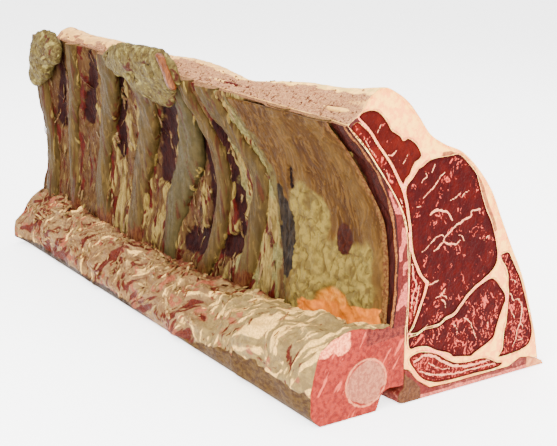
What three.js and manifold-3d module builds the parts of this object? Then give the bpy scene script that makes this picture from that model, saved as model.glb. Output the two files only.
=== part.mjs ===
// A bone-in beef striploin: a sawn length of back with its chine bone, nine ribs, the lean of the
// back and its fat cover. It rests on the flat saw cut that split the spine. X runs along the
// spine with the fresh cut face at +X, Y runs across from the rib side to the back fat, Z is up.
// All sizes are in millimetres.

import * as THREE from 'three';
import { mergeVertices } from 'three/addons/utils/BufferGeometryUtils.js';
import Module from 'manifold-3d';

const wasm = await Module();
wasm.setup();

// Driving dimensions
const LENGTH = 514;
const BACK_REACH = 199; // across, from the chine's front edge to the outermost back fat
const MID_ACROSS = 95; // across, the middle of the whole width
const WALL_TOP_NEAR = 191; // height of the sawn rib ends at the fresh cut face
const WALL_TOP_FAR = 204;
const BLOCK_TOP = 212; // height of the fat's ridge at the fresh cut face
const CANAL_HEIGHT = 13; // half of the spinal canal, open to the base
const LINING_THICK = 2.4;
const RIB_STAND = 2; // how far a rib stands in front of the rib side's mean surface
const GAP = 0.35; // between touching pieces

const END = LENGTH / 2;
const STATIONS = 22; // along the loin
const LEVELS = 8; // up the rib wall
const ALONG_X = Array.from({ length: STATIONS + 1 }, (_, i) => LENGTH * (i / STATIONS - 0.5));

// Blend helpers
const mix = (a, b, t) => a + (b - a) * t;
const clamp01 = (t) => Math.min(1, Math.max(0, t));
const smooth = (from, to, v) => {
  const t = clamp01((v - from) / (to - from));
  return t * t * (3 - 2 * t);
};

// A value read off a line through [key, value] pairs
function along(pairs, key) {
  if (key <= pairs[0][0]) return pairs[0][1];
  for (let i = 1; i < pairs.length; i += 1) {
    const [k0, v0] = pairs[i - 1];
    const [k1, v1] = pairs[i];
    if (key <= k1) return mix(v0, v1, (key - k0) / (k1 - k0));
  }
  return pairs[pairs.length - 1][1];
}

// Low lumps and hollows of torn fat, the same every time
function crag(x, y, z) {
  const slow = Math.sin(x * 0.071 + 1.3) * Math.cos(y * 0.11 + z * 0.05);
  const quick = Math.sin(x * 0.19 + y * 0.13 + 0.4) * Math.sin(z * 0.21 + y * 0.17 + 2.1);
  return 0.6 * slow + 0.4 * quick;
}

// The rib side: how far across its surface lies at a height, on the fresh cut and at the far end
const SIDE_NEAR = [[60, 57], [80, 58], [102, 57], [120, 55], [132, 52], [145, 47], [159, 40],
  [173, 31], [191, 14], [215, 5]];
const SIDE_FAR = [[0, 23], [53, 24], [80, 26], [110, 26], [160, 23], [215, 20]];
const SIDE_BEND = 1.4;

function ribSide(x, z) {
  const t = clamp01((x + END) / LENGTH) ** SIDE_BEND;
  return mix(along(SIDE_FAR, z), along(SIDE_NEAR, z), t);
}

// The rib wall gets thinner towards its top, most of all in the last stretch before the cut
const WALL_THICK = [[60, 12.5], [118, 12.5], [130, 11.5], [142, 9.5], [157, 6.2], [168, 4.8], [215, 4.8]];
const CUT_STRETCH = 34;

function wallBack(x, z) {
  const thicker = 4.2 * smooth(135, 165, z) * smooth(END, END - CUT_STRETCH, x);
  return ribSide(x, z) + along(WALL_THICK, z) + thicker;
}
const wallTop = (x) => mix(WALL_TOP_FAR, WALL_TOP_NEAR, smooth(-END, END, x));

// Height of the chine where the ribs rise from it
const CHINE_TOP = [[-257, 53], [-150, 47], [-60, 42], [60, 40], [110, 42], [180, 48], [257, 57]];
const chineTop = (x) => along(CHINE_TOP, x);

// A point of the fresh cut carried back along the loin: it keeps its share of the way from the
// rib wall to the back, which gets a little slimmer towards the far end
const FAR_DROP = 6;

function carried(x, y, z) {
  const near = wallBack(END, z);
  const here = wallBack(x, z);
  const drop = FAR_DROP * (1 - smooth(-END, END, x)) * smooth(100, 190, y) * (1 - smooth(100, 212, z));
  return here + (y - near) * (BACK_REACH - here) / (BACK_REACH - near) - drop;
}

// The height of the fat's ridge along the loin: it dips behind the last ribs, and the lean below
// it dips with it
const RIDGE = [[-257, 208], [-190, 207], [-120, 203], [-40, 204], [50, 201], [100, 197], [150, 200],
  [200, 205], [240, 210], [257, BLOCK_TOP]];

function carriedHeight(x, y, z) {
  return z + (along(RIDGE, x) - BLOCK_TOP) * smooth(28, 47, y) * smooth(150, 205, z);
}

// Solids as closed meshes

function toSolid(positions, triangles) {
  const geometry = new THREE.BufferGeometry();
  geometry.setAttribute('position', new THREE.Float32BufferAttribute(positions.flat(), 3));
  geometry.setIndex(triangles.flat());
  const merged = mergeVertices(geometry, 1e-4);
  const mesh = new wasm.Mesh({
    numProp: 3,
    vertProperties: new Float32Array(merged.attributes.position.array),
    triVerts: new Uint32Array(merged.index.array),
  });
  return new wasm.Manifold(mesh);
}

// A loft along X through sections of equal point count, each a list of [across, height]
function loft(sectionAt, stations = ALONG_X) {
  const count = stations.length - 1;
  const positions = [];
  const triangles = [];
  let size = 0;
  for (let i = 0; i <= count; i += 1) {
    const x = stations[i];
    let ring = sectionAt(x).map(([y, z]) => new THREE.Vector2(y, z));
    if (THREE.ShapeUtils.area(ring) < 0) ring = ring.reverse();
    size = ring.length;
    ring.forEach((p) => positions.push([x, p.x, p.y]));
    if (i === 0 || i === count) {
      const faces = THREE.ShapeUtils.triangulateShape(ring, []);
      faces.forEach(([a, b, c]) => {
        const turn = THREE.ShapeUtils.area([ring[a], ring[b], ring[c]]) > 0;
        const outward = turn === (i === count);
        const base = i * size;
        triangles.push(outward ? [base + a, base + b, base + c] : [base + a, base + c, base + b]);
      });
    }
  }
  for (let i = 0; i < count; i += 1) {
    for (let j = 0; j < size; j += 1) {
      const a = i * size + j;
      const b = i * size + (j + 1) % size;
      triangles.push([a, b, a + size], [b, b + size, a + size]);
    }
  }
  return toSolid(positions, triangles);
}

// A smooth closed outline through its corner points, as evenly spaced [across, height] points
function roundOutline(points, count, grow = 0) {
  const knots = points.map(([y, z]) => new THREE.Vector3(y, z, 0));
  const curve = new THREE.CatmullRomCurve3(knots, true, 'centripetal');
  const ring = curve.getSpacedPoints(count).slice(0, count);
  const turn = Math.sign(THREE.ShapeUtils.area(ring));
  return ring.map((p, i) => {
    const before = ring[(i + count - 1) % count];
    const after = ring[(i + 1) % count];
    const side = new THREE.Vector2(after.y - before.y, before.x - after.x).normalize();
    return [p.x + side.x * grow * turn, p.y + side.y * grow * turn];
  });
}

// A slab between a front and a back surface over a grid of u and v
function slab(front, back, uCount, vCount) {
  const positions = [];
  const triangles = [];
  const row = vCount + 1;
  const face = (uCount + 1) * row;
  [front, back].forEach((surface) => {
    for (let i = 0; i <= uCount; i += 1) {
      for (let j = 0; j <= vCount; j += 1) positions.push(surface(i / uCount, j / vCount));
    }
  });
  const quad = (a, b, c, d) => triangles.push([a, b, c], [a, c, d]);
  for (let i = 0; i < uCount; i += 1) {
    for (let j = 0; j < vCount; j += 1) {
      const a = i * row + j;
      quad(a, a + row, a + row + 1, a + 1);
      quad(face + a, face + a + 1, face + a + row + 1, face + a + row);
    }
  }
  for (let i = 0; i < uCount; i += 1) {
    const low = i * row;
    const high = low + vCount;
    quad(low + row, low, face + low, face + low + row);
    quad(high, high + row, face + high + row, face + high);
  }
  for (let j = 0; j < vCount; j += 1) {
    const last = uCount * row + j;
    quad(j, j + 1, face + j + 1, face + j);
    quad(last + 1, last, face + last, face + last + 1);
  }
  return toSolid(positions, triangles);
}

// A bar through centre points, each with its own half sizes along X and across
function bar(stops, sides) {
  const positions = [];
  const triangles = [];
  stops.forEach(({ x, y, z, halfWidth, halfThick }) => {
    for (let j = 0; j < sides; j += 1) {
      const turn = (2 * Math.PI * j) / sides;
      positions.push([x + halfWidth * Math.cos(turn), y + halfThick * Math.sin(turn), z]);
    }
  });
  for (let i = 0; i < stops.length - 1; i += 1) {
    for (let j = 0; j < sides; j += 1) {
      const a = i * sides + j;
      const b = i * sides + (j + 1) % sides;
      triangles.push([a, b, a + sides], [b, b + sides, a + sides]);
    }
  }
  const top = (stops.length - 1) * sides;
  for (let j = 1; j < sides - 1; j += 1) {
    triangles.push([0, j + 1, j], [top, top + j, top + j + 1]);
  }
  return toSolid(positions, triangles);
}

// A lump of fat: a closed outline of [x, height] that swells to the front and the back
function lump(outline, middleAt, swellFront, swellBack, count, grow = 0) {
  const rim = roundOutline(outline, count, grow);
  const cx = rim.reduce((sum, p) => sum + p[0], 0) / count;
  const cz = rim.reduce((sum, p) => sum + p[1], 0) / count;
  const shares = [0.93, 0.72, 0.4];
  const positions = [];
  const triangles = [];
  const addRing = (share, swell) => rim.forEach(([px, pz]) => {
    const x = mix(cx, px, share);
    const z = mix(cz, pz, share);
    const rise = swell * Math.sqrt(1 - share * share) * (1 + 0.28 * crag(3 * x, 0, 3 * z));
    positions.push([x, middleAt(x, z) + rise, z]);
  });
  [...shares].reverse().forEach((share) => addRing(share, -(swellFront + grow)));
  addRing(1, 0);
  shares.forEach((share) => addRing(share, swellBack + grow));
  const rings = 2 * shares.length + 1;
  const frontPole = positions.push([cx, middleAt(cx, cz) - swellFront - grow, cz]) - 1;
  const backPole = positions.push([cx, middleAt(cx, cz) + swellBack + grow, cz]) - 1;
  const anticlockwise = THREE.ShapeUtils.area(rim.map(([x, z]) => new THREE.Vector2(x, z))) > 0;
  const add = (a, b, c) => triangles.push(anticlockwise ? [a, b, c] : [a, c, b]);
  for (let j = 0; j < count; j += 1) {
    const next = (j + 1) % count;
    add(frontPole, j, next);
    for (let i = 0; i < rings - 1; i += 1) {
      const a = i * count + j;
      const b = i * count + next;
      add(a, a + count, b);
      add(b, a + count, b + count);
    }
    add(backPole, (rings - 1) * count + next, (rings - 1) * count + j);
  }
  return toSolid(positions, triangles);
}

// The ribs, from the far end to the fresh cut. Each track runs from the sawn top down to the
// chine as [x, height, width]. The last two lie under the smooth lining.
const RIB_HALF_THICK = 0.5;
const RIBS = [
  [[-238, 215, 20], [-242, 155, 21], [-236, 121, 21], [-232, 84, 19], [-236, 36, 20]],
  [[-157, 215, 15], [-164, 166, 15], [-178, 127, 15], [-184, 95, 15], [-177, 36, 16]],
  [[-80, 215, 26], [-90, 174, 24], [-112, 128, 20], [-125, 93, 20], [-121, 34, 30]],
  [[-10, 215, 22], [-29, 155, 25], [-50, 115, 25], [-63, 75, 22], [-67, 32, 24]],
  [[28, 215, 18], [39, 168, 20], [26, 128, 31], [2, 92, 29], [-6, 65, 20], [-8, 32, 18]],
  [[56, 215, 14], [58, 180, 14], [72, 143, 16], [70, 105, 16], [60, 70, 16], [36, 30, 18]],
  [[90, 215, 24], [91, 180, 24], [104, 159, 20], [121, 138, 20], [114, 100, 18], [90, 30, 18]],
  [[188, 215, 24], [177, 174, 22], [176, 143, 22], [181, 100, 22], [184, 36, 24]],
  [[226, 215, 26], [226, 174, 24], [233, 140, 24], [240, 108, 23], [243, 36, 22]],
];
const LINED_RIBS = [7, 8];
const LINED_DEPTH = 3.4; // how much further back the ribs under the lining lie
const RIB_BACK = 2.2; // the lean behind a rib
const RIB_STEPS = 9;
const RIB_SIDES = 10;

function ribCurve(track) {
  const knots = track.map(([x, z, width]) => new THREE.Vector3(x, z, width));
  return new THREE.CatmullRomCurve3(knots, false, 'centripetal').getSpacedPoints(RIB_STEPS);
}
const ribCurves = RIBS.map(ribCurve);

function rib(index, grow = 0) {
  const sunk = LINED_RIBS.includes(index) ? LINED_DEPTH : 0;
  const stops = ribCurves[index].map(({ x, y: z, z: width }) => {
    const front = ribSide(x, z) - RIB_STAND + sunk;
    const back = wallBack(x, z) - RIB_BACK;
    return {
      x,
      y: mix(front, back, RIB_HALF_THICK),
      z,
      halfWidth: width / 2 + grow,
      halfThick: (back - front) / 2 + grow,
    };
  });
  return bar(stops.reverse(), RIB_SIDES);
}

// Distance along X from a point of the rib side to the middle of the nearest rib
function offRib(x, z) {
  return Math.min(...ribCurves.map((curve) => {
    const pairs = [...curve].reverse().map((p) => [p.y, p.x]);
    return Math.abs(x - along(pairs, z));
  }));
}

// The lean and fat between the ribs, hollowed between them, deepest at the far end
const HOLLOW_FAR = 8;
const HOLLOW_NEAR = 4.5;

function leanFront(x, z) {
  const deep = mix(HOLLOW_FAR, HOLLOW_NEAR, smooth(0, 160, x));
  const low = smooth(45, 85, z);
  const hollow = deep * smooth(5, 20, offRib(x, z)) * mix(0.25, 1, low);
  return Math.min(ribSide(x, z) + hollow + 0.8 * crag(x, 0, z), wallBack(x, z) - 3);
}

function ribLean() {
  const at = (u, v, surface) => {
    const x = mix(-END, END, u);
    const z = mix(chineTop(x) + GAP, wallTop(x), v);
    return [x, surface(x, z), z];
  };
  return slab((u, v) => at(u, v, leanFront), (u, v) => at(u, v, wallBack), STATIONS, LEVELS);
}

// The smooth lining over the last two ribs, with the soft fat at its foot
const LINING_LEFT = [[50, 156], [80, 148], [110, 140], [146, 135], [186, 116]];
const LINING_RIGHT = [[50, 254], [97, 254], [127, 253], [145, 248], [167, 244], [190, 244]];
const LINING_FOOT = 58;
const FOOT_FAT = 7; // how far the soft fat swells at the foot

function liningFront(x, z) {
  const ridge = 1.6 * (1 - smooth(4, 16, offRib(x, z)));
  const swell = FOOT_FAT * (1 - smooth(60, 120, z)) * smooth(120, 175, x) * (1 - smooth(225, 256, x));
  return ribSide(x, z) - 1 - ridge - swell * (1 + 0.35 * crag(2 * x, 0, 2 * z));
}

function lining(grow = 0) {
  const at = (u, v, surface) => {
    const z = mix(LINING_FOOT - grow, wallTop(180) - 1 + grow, v);
    const x = mix(along(LINING_LEFT, z) - grow, along(LINING_RIGHT, z) + grow, u);
    return [x, surface(x, z), z];
  };
  const front = (x, z) => liningFront(x, z) - grow;
  const back = (x, z) => Math.max(liningFront(x, z), ribSide(x, z) - 3) + LINING_THICK + grow;
  return slab((u, v) => at(u, v, front), (u, v) => at(u, v, back), 12, LEVELS);
}

// The chine: the split vertebrae, with the half canal open to the base. A section's points are
// [share of the way from the front edge to the rib wall, height on the fresh cut, at the far end]
const CHINE_SECTION = [
  [0.03, 0, 0], [-0.07, 7, 6], [-0.07, 21, 14], [-0.03, 38, 22], [0.04, 51, 30], [0.16, 57, 38],
  [0.3, 59, 44], [0.46, 60, 48], [0.6, 59, 51],
];
const CLEAR_OF_RIBS = 0.6; // from this share back the ribs and their lean stand on the chine
const NEAR_STRETCH = 170; // over this much of its length the chine grows to its height at the cut
const CANAL_FROM = 0.7;
const CANAL_TO = 0.93;
const FRONT_LOBE = 9; // the far vertebra reaches this far out in front

function chineSection(x) {
  const t = smooth(END - NEAR_STRETCH, END, x);
  const back = wallBack(x, 55) - GAP;
  const top = chineTop(x);
  const sink = mix(0, 5, smooth(-240, -100, x) * (1 - smooth(120, 250, x)));
  const points = CHINE_SECTION.map(([share, near, far], i) => {
    const loose = i === 0 ? 0 : 1;
    const lumpy = 2.6 * crag(x, 30 * i, 0) * loose * smooth(-END, 20 - END, x) * smooth(END, END - 15, x);
    const height = Math.max(0, mix(far, near, t) - (i > 3 ? sink : 0) + (i > 3 ? lumpy : 0));
    const lobe = share < 0 ? -FRONT_LOBE * (1 - smooth(-END, 30 - END, x)) * 0.72 : 0;
    const under = share < CLEAR_OF_RIBS ? height : Math.min(height, top);
    return [share * back + lobe + (i > 0 && i < 4 ? 0.8 * lumpy : 0), under];
  });
  const foot = CANAL_HEIGHT;
  const rear = (z) => (wallBack(x, z) - GAP) / back;
  const rise = [[0.76, top], [rear(top), top], [rear(foot + 3), foot + 3], [rear(foot), foot]];
  const canal = [[CANAL_TO, CANAL_HEIGHT], [0.5 * (CANAL_FROM + CANAL_TO), CANAL_HEIGHT + 1],
    [CANAL_FROM + 0.03, CANAL_HEIGHT - 2], [CANAL_FROM, 4], [CANAL_FROM - 0.02, 0]];
  rise.concat(canal).forEach(([share, height]) => points.push([share * back, height]));
  return points;
}

// The split feather bones, a plate along the base that thickens where the arch rises beside the
// canal. Its upper side on the fresh cut, as [across, height]
const FEATHER_TOP = [[70, 24], [75, 21.5], [81, 13.5], [92, 6], [110, 5], [164, 5], [175, 9.5], [184, 8],
  [193, 5]];
const FEATHER_LIP = 10.5; // height of the plate's front edge, under the chine
const FEATHER_ALONG_X = [0, 1, 2, 4, 8, 12, 16, 20, 22].map((i) => ALONG_X[i]);

// The plate's upper side at a station, from the back fat to the chine
const featherTop = (x) => [...FEATHER_TOP].reverse()
  .map(([y, z]) => [Math.max(carried(x, y, z), wallBack(x, 20) + GAP), z]);

function featherSection(x) {
  const from = carried(x, wallBack(END, 20) * CANAL_TO + 1, 20);
  const lower = [0, 0.03, 0.35, 0.7, 1].map((share, i) => [mix(from, BACK_REACH, share), i === 0 ? 1 : 0]);
  const lip = [[wallBack(x, 20) + GAP, FEATHER_LIP], [from - 0.4, FEATHER_LIP - 4]];
  return [...lower, [BACK_REACH - 1.5, 3], ...featherTop(x), ...lip];
}

// The block of lean and fat behind the rib wall. Its back contour on the fresh cut runs from the
// top edge over the fat down to the base, as [across, height]
const BACK_CONTOUR = [[31, 199], [37, 207], [47, BLOCK_TOP], [58, 207.5], [67, 201], [75, 192], [85, 179.5],
  [97, 172], [112, 165.5], [126, 153.5], [140, 136], [150, 116], [161, 94], [172.5, 72], [181.5, 48],
  [189, 25]];

function blockSection(x) {
  const points = [];
  for (let k = -1; k <= LEVELS; k += 1) {
    const z = k < 0 ? FEATHER_TOP[0][1] + GAP : mix(chineTop(x) + GAP, wallTop(x), k / LEVELS);
    points.push([wallBack(x, z) + GAP, z]);
  }
  const wave = 1.6 * Math.sin(x * 0.043 + 0.8) * smooth(END, END - 40, x);
  BACK_CONTOUR.forEach(([y, z]) => {
    points.push([carried(x, y, z), carriedHeight(x, y, z) + wave * smooth(100, 212, z)]);
  });
  featherTop(x).slice(0, -1).forEach(([y, z]) => points.push([y, z + GAP]));
  return points;
}

// The muscles that show on the fresh cut, each a round outline of [across, height] there
const MUSCLES = {
  top_muscle: [[31.5, 195], [42, 197.5], [48.5, 193], [54.5, 183.5], [67, 177.5], [76, 169.5], [76, 162.5],
    [69.5, 152.8], [64.6, 155.2], [54, 170.6], [42.4, 182.6]],
  rib_side_muscle: [[23.5, 189], [27.5, 191.5], [38.5, 181], [50.2, 168.4], [61, 152.8], [64.8, 139.5],
    [67.6, 129], [65.6, 129], [61, 138.5], [55, 147.8], [48, 158], [40, 169], [31, 180.5]],
  eye_muscle: [[68.8, 139], [69, 148.5], [75.5, 157], [89, 161.5], [103, 162.5], [113, 159.5], [121, 151.5],
    [129.5, 137.5], [137, 123], [143, 108], [146.5, 92], [144, 79.5], [134, 72], [117, 62], [102, 46],
    [90, 38.8], [80, 38.2], [74.6, 42.5], [80.5, 53.5], [85.5, 66], [88.5, 78.5], [80.4, 91], [74, 106],
    [71, 123]],
  deep_muscle: [[72.2, 99], [74.3, 99], [78, 89.5], [83.5, 79.5], [81.3, 67], [76.7, 55], [73.4, 48.5],
    [72.1, 50], [72.1, 68], [72.1, 85]],
  under_muscle: [[119.5, 61.2], [131, 67.3], [140, 72.5], [147, 73], [155, 65], [156, 55], [153, 44],
    [148, 32.5], [141, 26], [127, 22], [114, 24], [101, 30], [90, 36.5], [97.5, 42], [107.5, 49]],
  cap_muscle: [[151.8, 86], [157.5, 87.5], [163, 80], [168.5, 70], [174, 57.5], [179, 45], [184, 31],
    [186, 21], [181.5, 14.8], [169, 13.2], [159, 18], [161.5, 30], [161.5, 47], [159.5, 64], [155.3, 75]],
  feather_muscle: [[73.6, 30.5], [80, 33.5], [90, 32.4], [99, 28.8], [107, 23.5], [115, 19], [126, 17],
    [140, 18.5], [150, 16], [158, 11.5], [156, 7.2], [130, 7], [112, 7.2], [97, 8.6], [86, 13.6],
    [79, 21]],
};
const MUSCLE_ALONG_X = [0, 4, 12, 20, 21, 22].map((i) => ALONG_X[i]);
const FINE_OUTLINES = ['eye_muscle', 'rib_side_muscle', 'feather_muscle'];
const FINE_POINTS = 26;
const MUSCLE_POINTS = 18;

function muscle(name, grow = 0, over = 0) {
  const count = FINE_OUTLINES.includes(name) ? FINE_POINTS : MUSCLE_POINTS;
  const ring = roundOutline(MUSCLES[name], count, grow);
  const section = (station) => {
    const x = Math.max(-END, Math.min(END, station));
    return ring.map(([y, z]) => [carried(x, y, z), carriedHeight(x, y, z)]);
  };
  if (over === 0) return loft(section, MUSCLE_ALONG_X);
  return loft(section, [-END - over, ...MUSCLE_ALONG_X, END + over]);
}

// The two lumps of soft fat that hang over the sawn rib ends, and the strip of sinew on one
const LUMP_FAR = [[-254, 160], [-238, 156], [-219, 166], [-204, 178], [-184, 184], [-176, 196],
  [-186, 209], [-204, 212], [-226, 208], [-246, 184]];
const LUMP_MID = [[-74, 199], [-62, 191], [-34, 186], [-28, 177], [-6, 175], [10, 170], [27, 172],
  [46, 185], [62, 199], [52, 213], [14, 217], [-30, 215], [-58, 210]];
const LUMP_STAND = 4.5;
const LUMP_FRONT = 9;
const LUMP_BACK = 7;
const lumpMiddle = (x, z) => ribSide(x, z) - LUMP_STAND;

function sinew(grow = 0) {
  const track = [[42, 215], [47, 208], [51, 199], [53, 188]];
  const stops = track.map(([x, z]) => ({
    x,
    y: lumpMiddle(x, z) - LUMP_FRONT * 0.45,
    z,
    halfWidth: 5 + grow,
    halfThick: 3.2 + grow,
  }));
  stops[0].z += grow;
  stops[3].z -= grow;
  return bar(stops.reverse(), 10);
}

// Cuts between the pieces
const chine = loft(chineSection);
const chineWide = chine.translate([0, 0, GAP]).add(chine.translate([0, -GAP, 0]));
const liningSolid = lining();
const liningWide = lining(GAP);
const ribSolids = ribCurves.map((_, i) => {
  const topCut = slab(
    (u, v) => [mix(-300, 300, u), -60, mix(wallTop(mix(-300, 300, u)) + 1, 260, v)],
    (u, v) => [mix(-300, 300, u), 120, mix(wallTop(mix(-300, 300, u)) + 1, 260, v)], 3, 1);
  const whole = rib(i).subtract(chineWide).subtract(topCut);
  return LINED_RIBS.includes(i) ? whole.subtract(liningWide) : whole;
});
const allRibsWide = ribCurves.map((_, i) => rib(i, GAP)).reduce((sum, one) => sum.add(one));
const leanSolid = ribLean().subtract(allRibsWide).subtract(liningWide);
const muscleNames = Object.keys(MUSCLES);
const musclesWide = muscleNames.map((name) => muscle(name, GAP, 5)).reduce((sum, one) => sum.add(one));
const fatSolid = loft(blockSection).subtract(musclesWide);
const sinewWide = sinew(2 * GAP);
const behindLumps = ribLean().translate([0, -GAP, 0]).add(ribLean().translate([0, 0, GAP]))
  .add(allRibsWide).add(liningWide);
const blockWide = loft(blockSection).translate([0, -GAP, 0]);
const lumpSolid = (outline) => lump(outline, lumpMiddle, LUMP_FRONT, LUMP_BACK, 22)
  .subtract(behindLumps).subtract(blockWide).subtract(sinewWide);

// Materials
const finish = (color, roughness) => new THREE.MeshStandardMaterial({ color, roughness, metalness: 0 });
const BONE = finish(0xb9a184, 0.55);
const CHINE_BONE = finish(0xd98a74, 0.6);
const FEATHER_BONE = finish(0xd0605a, 0.6);
const DARK_LEAN = finish(0x7a3428, 0.5);
const RED_LEAN = finish(0x8e2226, 0.42);
const BRIGHT_LEAN = finish(0xa8302f, 0.42);
const FAT = finish(0xe6cfa0, 0.5);
const SOFT_FAT = finish(0xcfc79a, 0.6);
const LINING = finish(0xc4a877, 0.35);
const SINEW = finish(0xb0703c, 0.4);

// The assembly
const striploin = new THREE.Group();
striploin.position.set(0, -MID_ACROSS, 0);

function place(name, solid, material) {
  const { vertProperties, triVerts } = solid.getMesh();
  const geometry = new THREE.BufferGeometry();
  geometry.setAttribute('position', new THREE.BufferAttribute(new Float32Array(vertProperties), 3));
  geometry.setIndex(new THREE.BufferAttribute(new Uint32Array(triVerts), 1));
  geometry.computeVertexNormals();
  const mesh = new THREE.Mesh(geometry, material);
  mesh.name = name;
  striploin.add(mesh);
}

place('chine_bone', chine, CHINE_BONE);
place('feather_bones', loft(featherSection, FEATHER_ALONG_X), FEATHER_BONE);
ribSolids.forEach((solid, i) => place(`rib_${i + 1}`, solid, BONE));
place('rib_lean', leanSolid, DARK_LEAN);
place('rib_lining', liningSolid, LINING);
muscleNames.forEach((name) => {
  const lean = name === 'eye_muscle' || name === 'top_muscle' ? RED_LEAN : BRIGHT_LEAN;
  place(name, muscle(name), lean);
});
place('fat_cover', fatSolid, FAT);
place('fat_lump_far', lumpSolid(LUMP_FAR), SOFT_FAT);
place('fat_lump_mid', lumpSolid(LUMP_MID), SOFT_FAT);
place('sinew_strip', sinew(), SINEW);

export default striploin;
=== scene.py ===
import math

import bmesh
import bpy
import numpy as np
from bpy.props import FloatProperty, FloatVectorProperty, IntProperty, PointerProperty
from mathutils import Matrix, Vector
from mathutils.geometry import delaunay_2d_cdt


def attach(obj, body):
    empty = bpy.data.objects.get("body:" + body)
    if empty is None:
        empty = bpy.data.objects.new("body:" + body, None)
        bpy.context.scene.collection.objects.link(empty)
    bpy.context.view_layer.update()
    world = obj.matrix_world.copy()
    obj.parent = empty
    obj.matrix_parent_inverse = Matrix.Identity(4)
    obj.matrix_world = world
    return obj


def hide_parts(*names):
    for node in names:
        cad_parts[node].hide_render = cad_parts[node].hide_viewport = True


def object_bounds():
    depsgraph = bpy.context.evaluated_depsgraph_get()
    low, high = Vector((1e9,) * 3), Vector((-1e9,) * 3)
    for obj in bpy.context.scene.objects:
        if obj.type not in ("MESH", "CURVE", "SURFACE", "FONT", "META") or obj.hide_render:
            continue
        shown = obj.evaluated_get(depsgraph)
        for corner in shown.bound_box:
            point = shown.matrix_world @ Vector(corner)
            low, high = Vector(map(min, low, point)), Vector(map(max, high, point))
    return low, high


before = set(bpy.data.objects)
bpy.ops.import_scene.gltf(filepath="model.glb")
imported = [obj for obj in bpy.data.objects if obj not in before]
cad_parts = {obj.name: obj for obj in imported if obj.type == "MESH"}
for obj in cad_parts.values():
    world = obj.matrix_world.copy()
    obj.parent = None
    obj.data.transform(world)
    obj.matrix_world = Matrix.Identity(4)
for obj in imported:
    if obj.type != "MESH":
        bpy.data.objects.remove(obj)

bl_info = {
    "name": "Bone-in striploin",
    "version": (1, 0, 0),
    "blender": (4, 5, 0),
    "location": "3D View > Sidebar > Striploin",
    "description": "Dresses a sawn bone-in loin of beef with meat, fat, bone and lining",
    "category": "Object",
}

CAD_LOW, CAD_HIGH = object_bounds()

# Sizes are in millimetres: x runs along the spine to the fresh cut at END, y across from the
# chine's front edge to the back fat, z up. MID_ACROSS of y is the frame's origin.
MILLI = 0.001
END = round(CAD_HIGH.x / MILLI, 1)
LENGTH = 2 * END
MID_ACROSS = 95.0
BACK_REACH = 199.0
WALL_TOP_NEAR = 191.0
WALL_TOP_FAR = 204.0
BLOCK_TOP = 212.0
CANAL_HEIGHT = 13.0
LINING_THICK = 2.4
GAP = 0.35


# Blends and lines

def mix(a, b, share):
    return a + (b - a) * share


def smooth(start, stop, value):
    share = np.clip((np.asarray(value, float) - start) / (stop - start), 0.0, 1.0)
    return share * share * (3 - 2 * share)


def along(pairs, key, soften=5.0):
    """A line through (key, value) pairs, its corners softened over a width."""
    keys, values = np.array(pairs, float).T
    key = np.asarray(key, float)
    return np.mean([np.interp(key + soften * step, keys, values) for step in (-1, -0.5, 0, 0.5, 1)], axis=0)


def bump_at(value, centre, half):
    """One at the centre, nothing beyond half a width from it."""
    return 1 - smooth(0, half, np.abs(np.asarray(value, float) - centre))


# Noise that is the same every run

GRADIENTS = np.random.default_rng(7).normal(size=(256, 3))
GRADIENTS /= np.linalg.norm(GRADIENTS, axis=1)[:, None]


def lattice_noise(points, seed):
    cell = np.floor(points).astype(np.int64)
    part = points - cell
    fade = part ** 3 * (part * (part * 6 - 15) + 10)
    total = np.zeros(len(points))
    for corner in np.ndindex(2, 2, 2):
        spot = cell + corner
        key = spot[:, 0] * 73856093 ^ spot[:, 1] * 19349663 ^ spot[:, 2] * 83492791 ^ (seed * 7919 + 13)
        key = (key ^ (key >> 13)) * 1274126177
        gradient = GRADIENTS[(key >> 16) & 255]
        share = np.prod(np.where(corner, fade, 1 - fade), axis=1)
        total += share * ((part - corner) * gradient).sum(axis=1)
    return total


def noise(points, size, seed=0, octaves=3, gain=0.5):
    """From about -1 to 1 at (n, 3) points. size is the width of a feature, one or along each axis."""
    total = np.zeros(len(points))
    weight = 1.0
    reach = 0.0
    for octave in range(octaves):
        total += weight * lattice_noise(points / size * 2 ** octave + 11.3 * octave, seed + 17 * octave)
        reach += weight
        weight *= gain
    return np.clip(total / reach * 1.9, -1, 1)


def ridges(points, size, seed=0, octaves=2):
    """Thin crests of 1 on a floor of about 0."""
    return 1 - np.abs(noise(points, size, seed, octaves))


def swirl(p, size, seed, share=0.55):
    """Points pushed about so that streaks over them curl."""
    push = np.stack([noise(p, size, seed + k, 2) for k in range(3)], axis=1)
    return p + push * size * share


# Curves

def resampled(line, count, closed=True):
    """A line of corners as evenly spaced points."""
    corners = np.concatenate([line, line[:1]]) if closed else line
    length = np.concatenate([[0], np.cumsum(np.linalg.norm(np.diff(corners, axis=0), axis=1))])
    wanted = np.linspace(0, length[-1], count, endpoint=not closed)
    return np.stack([np.interp(wanted, length, column) for column in corners.T], axis=1)


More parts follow.
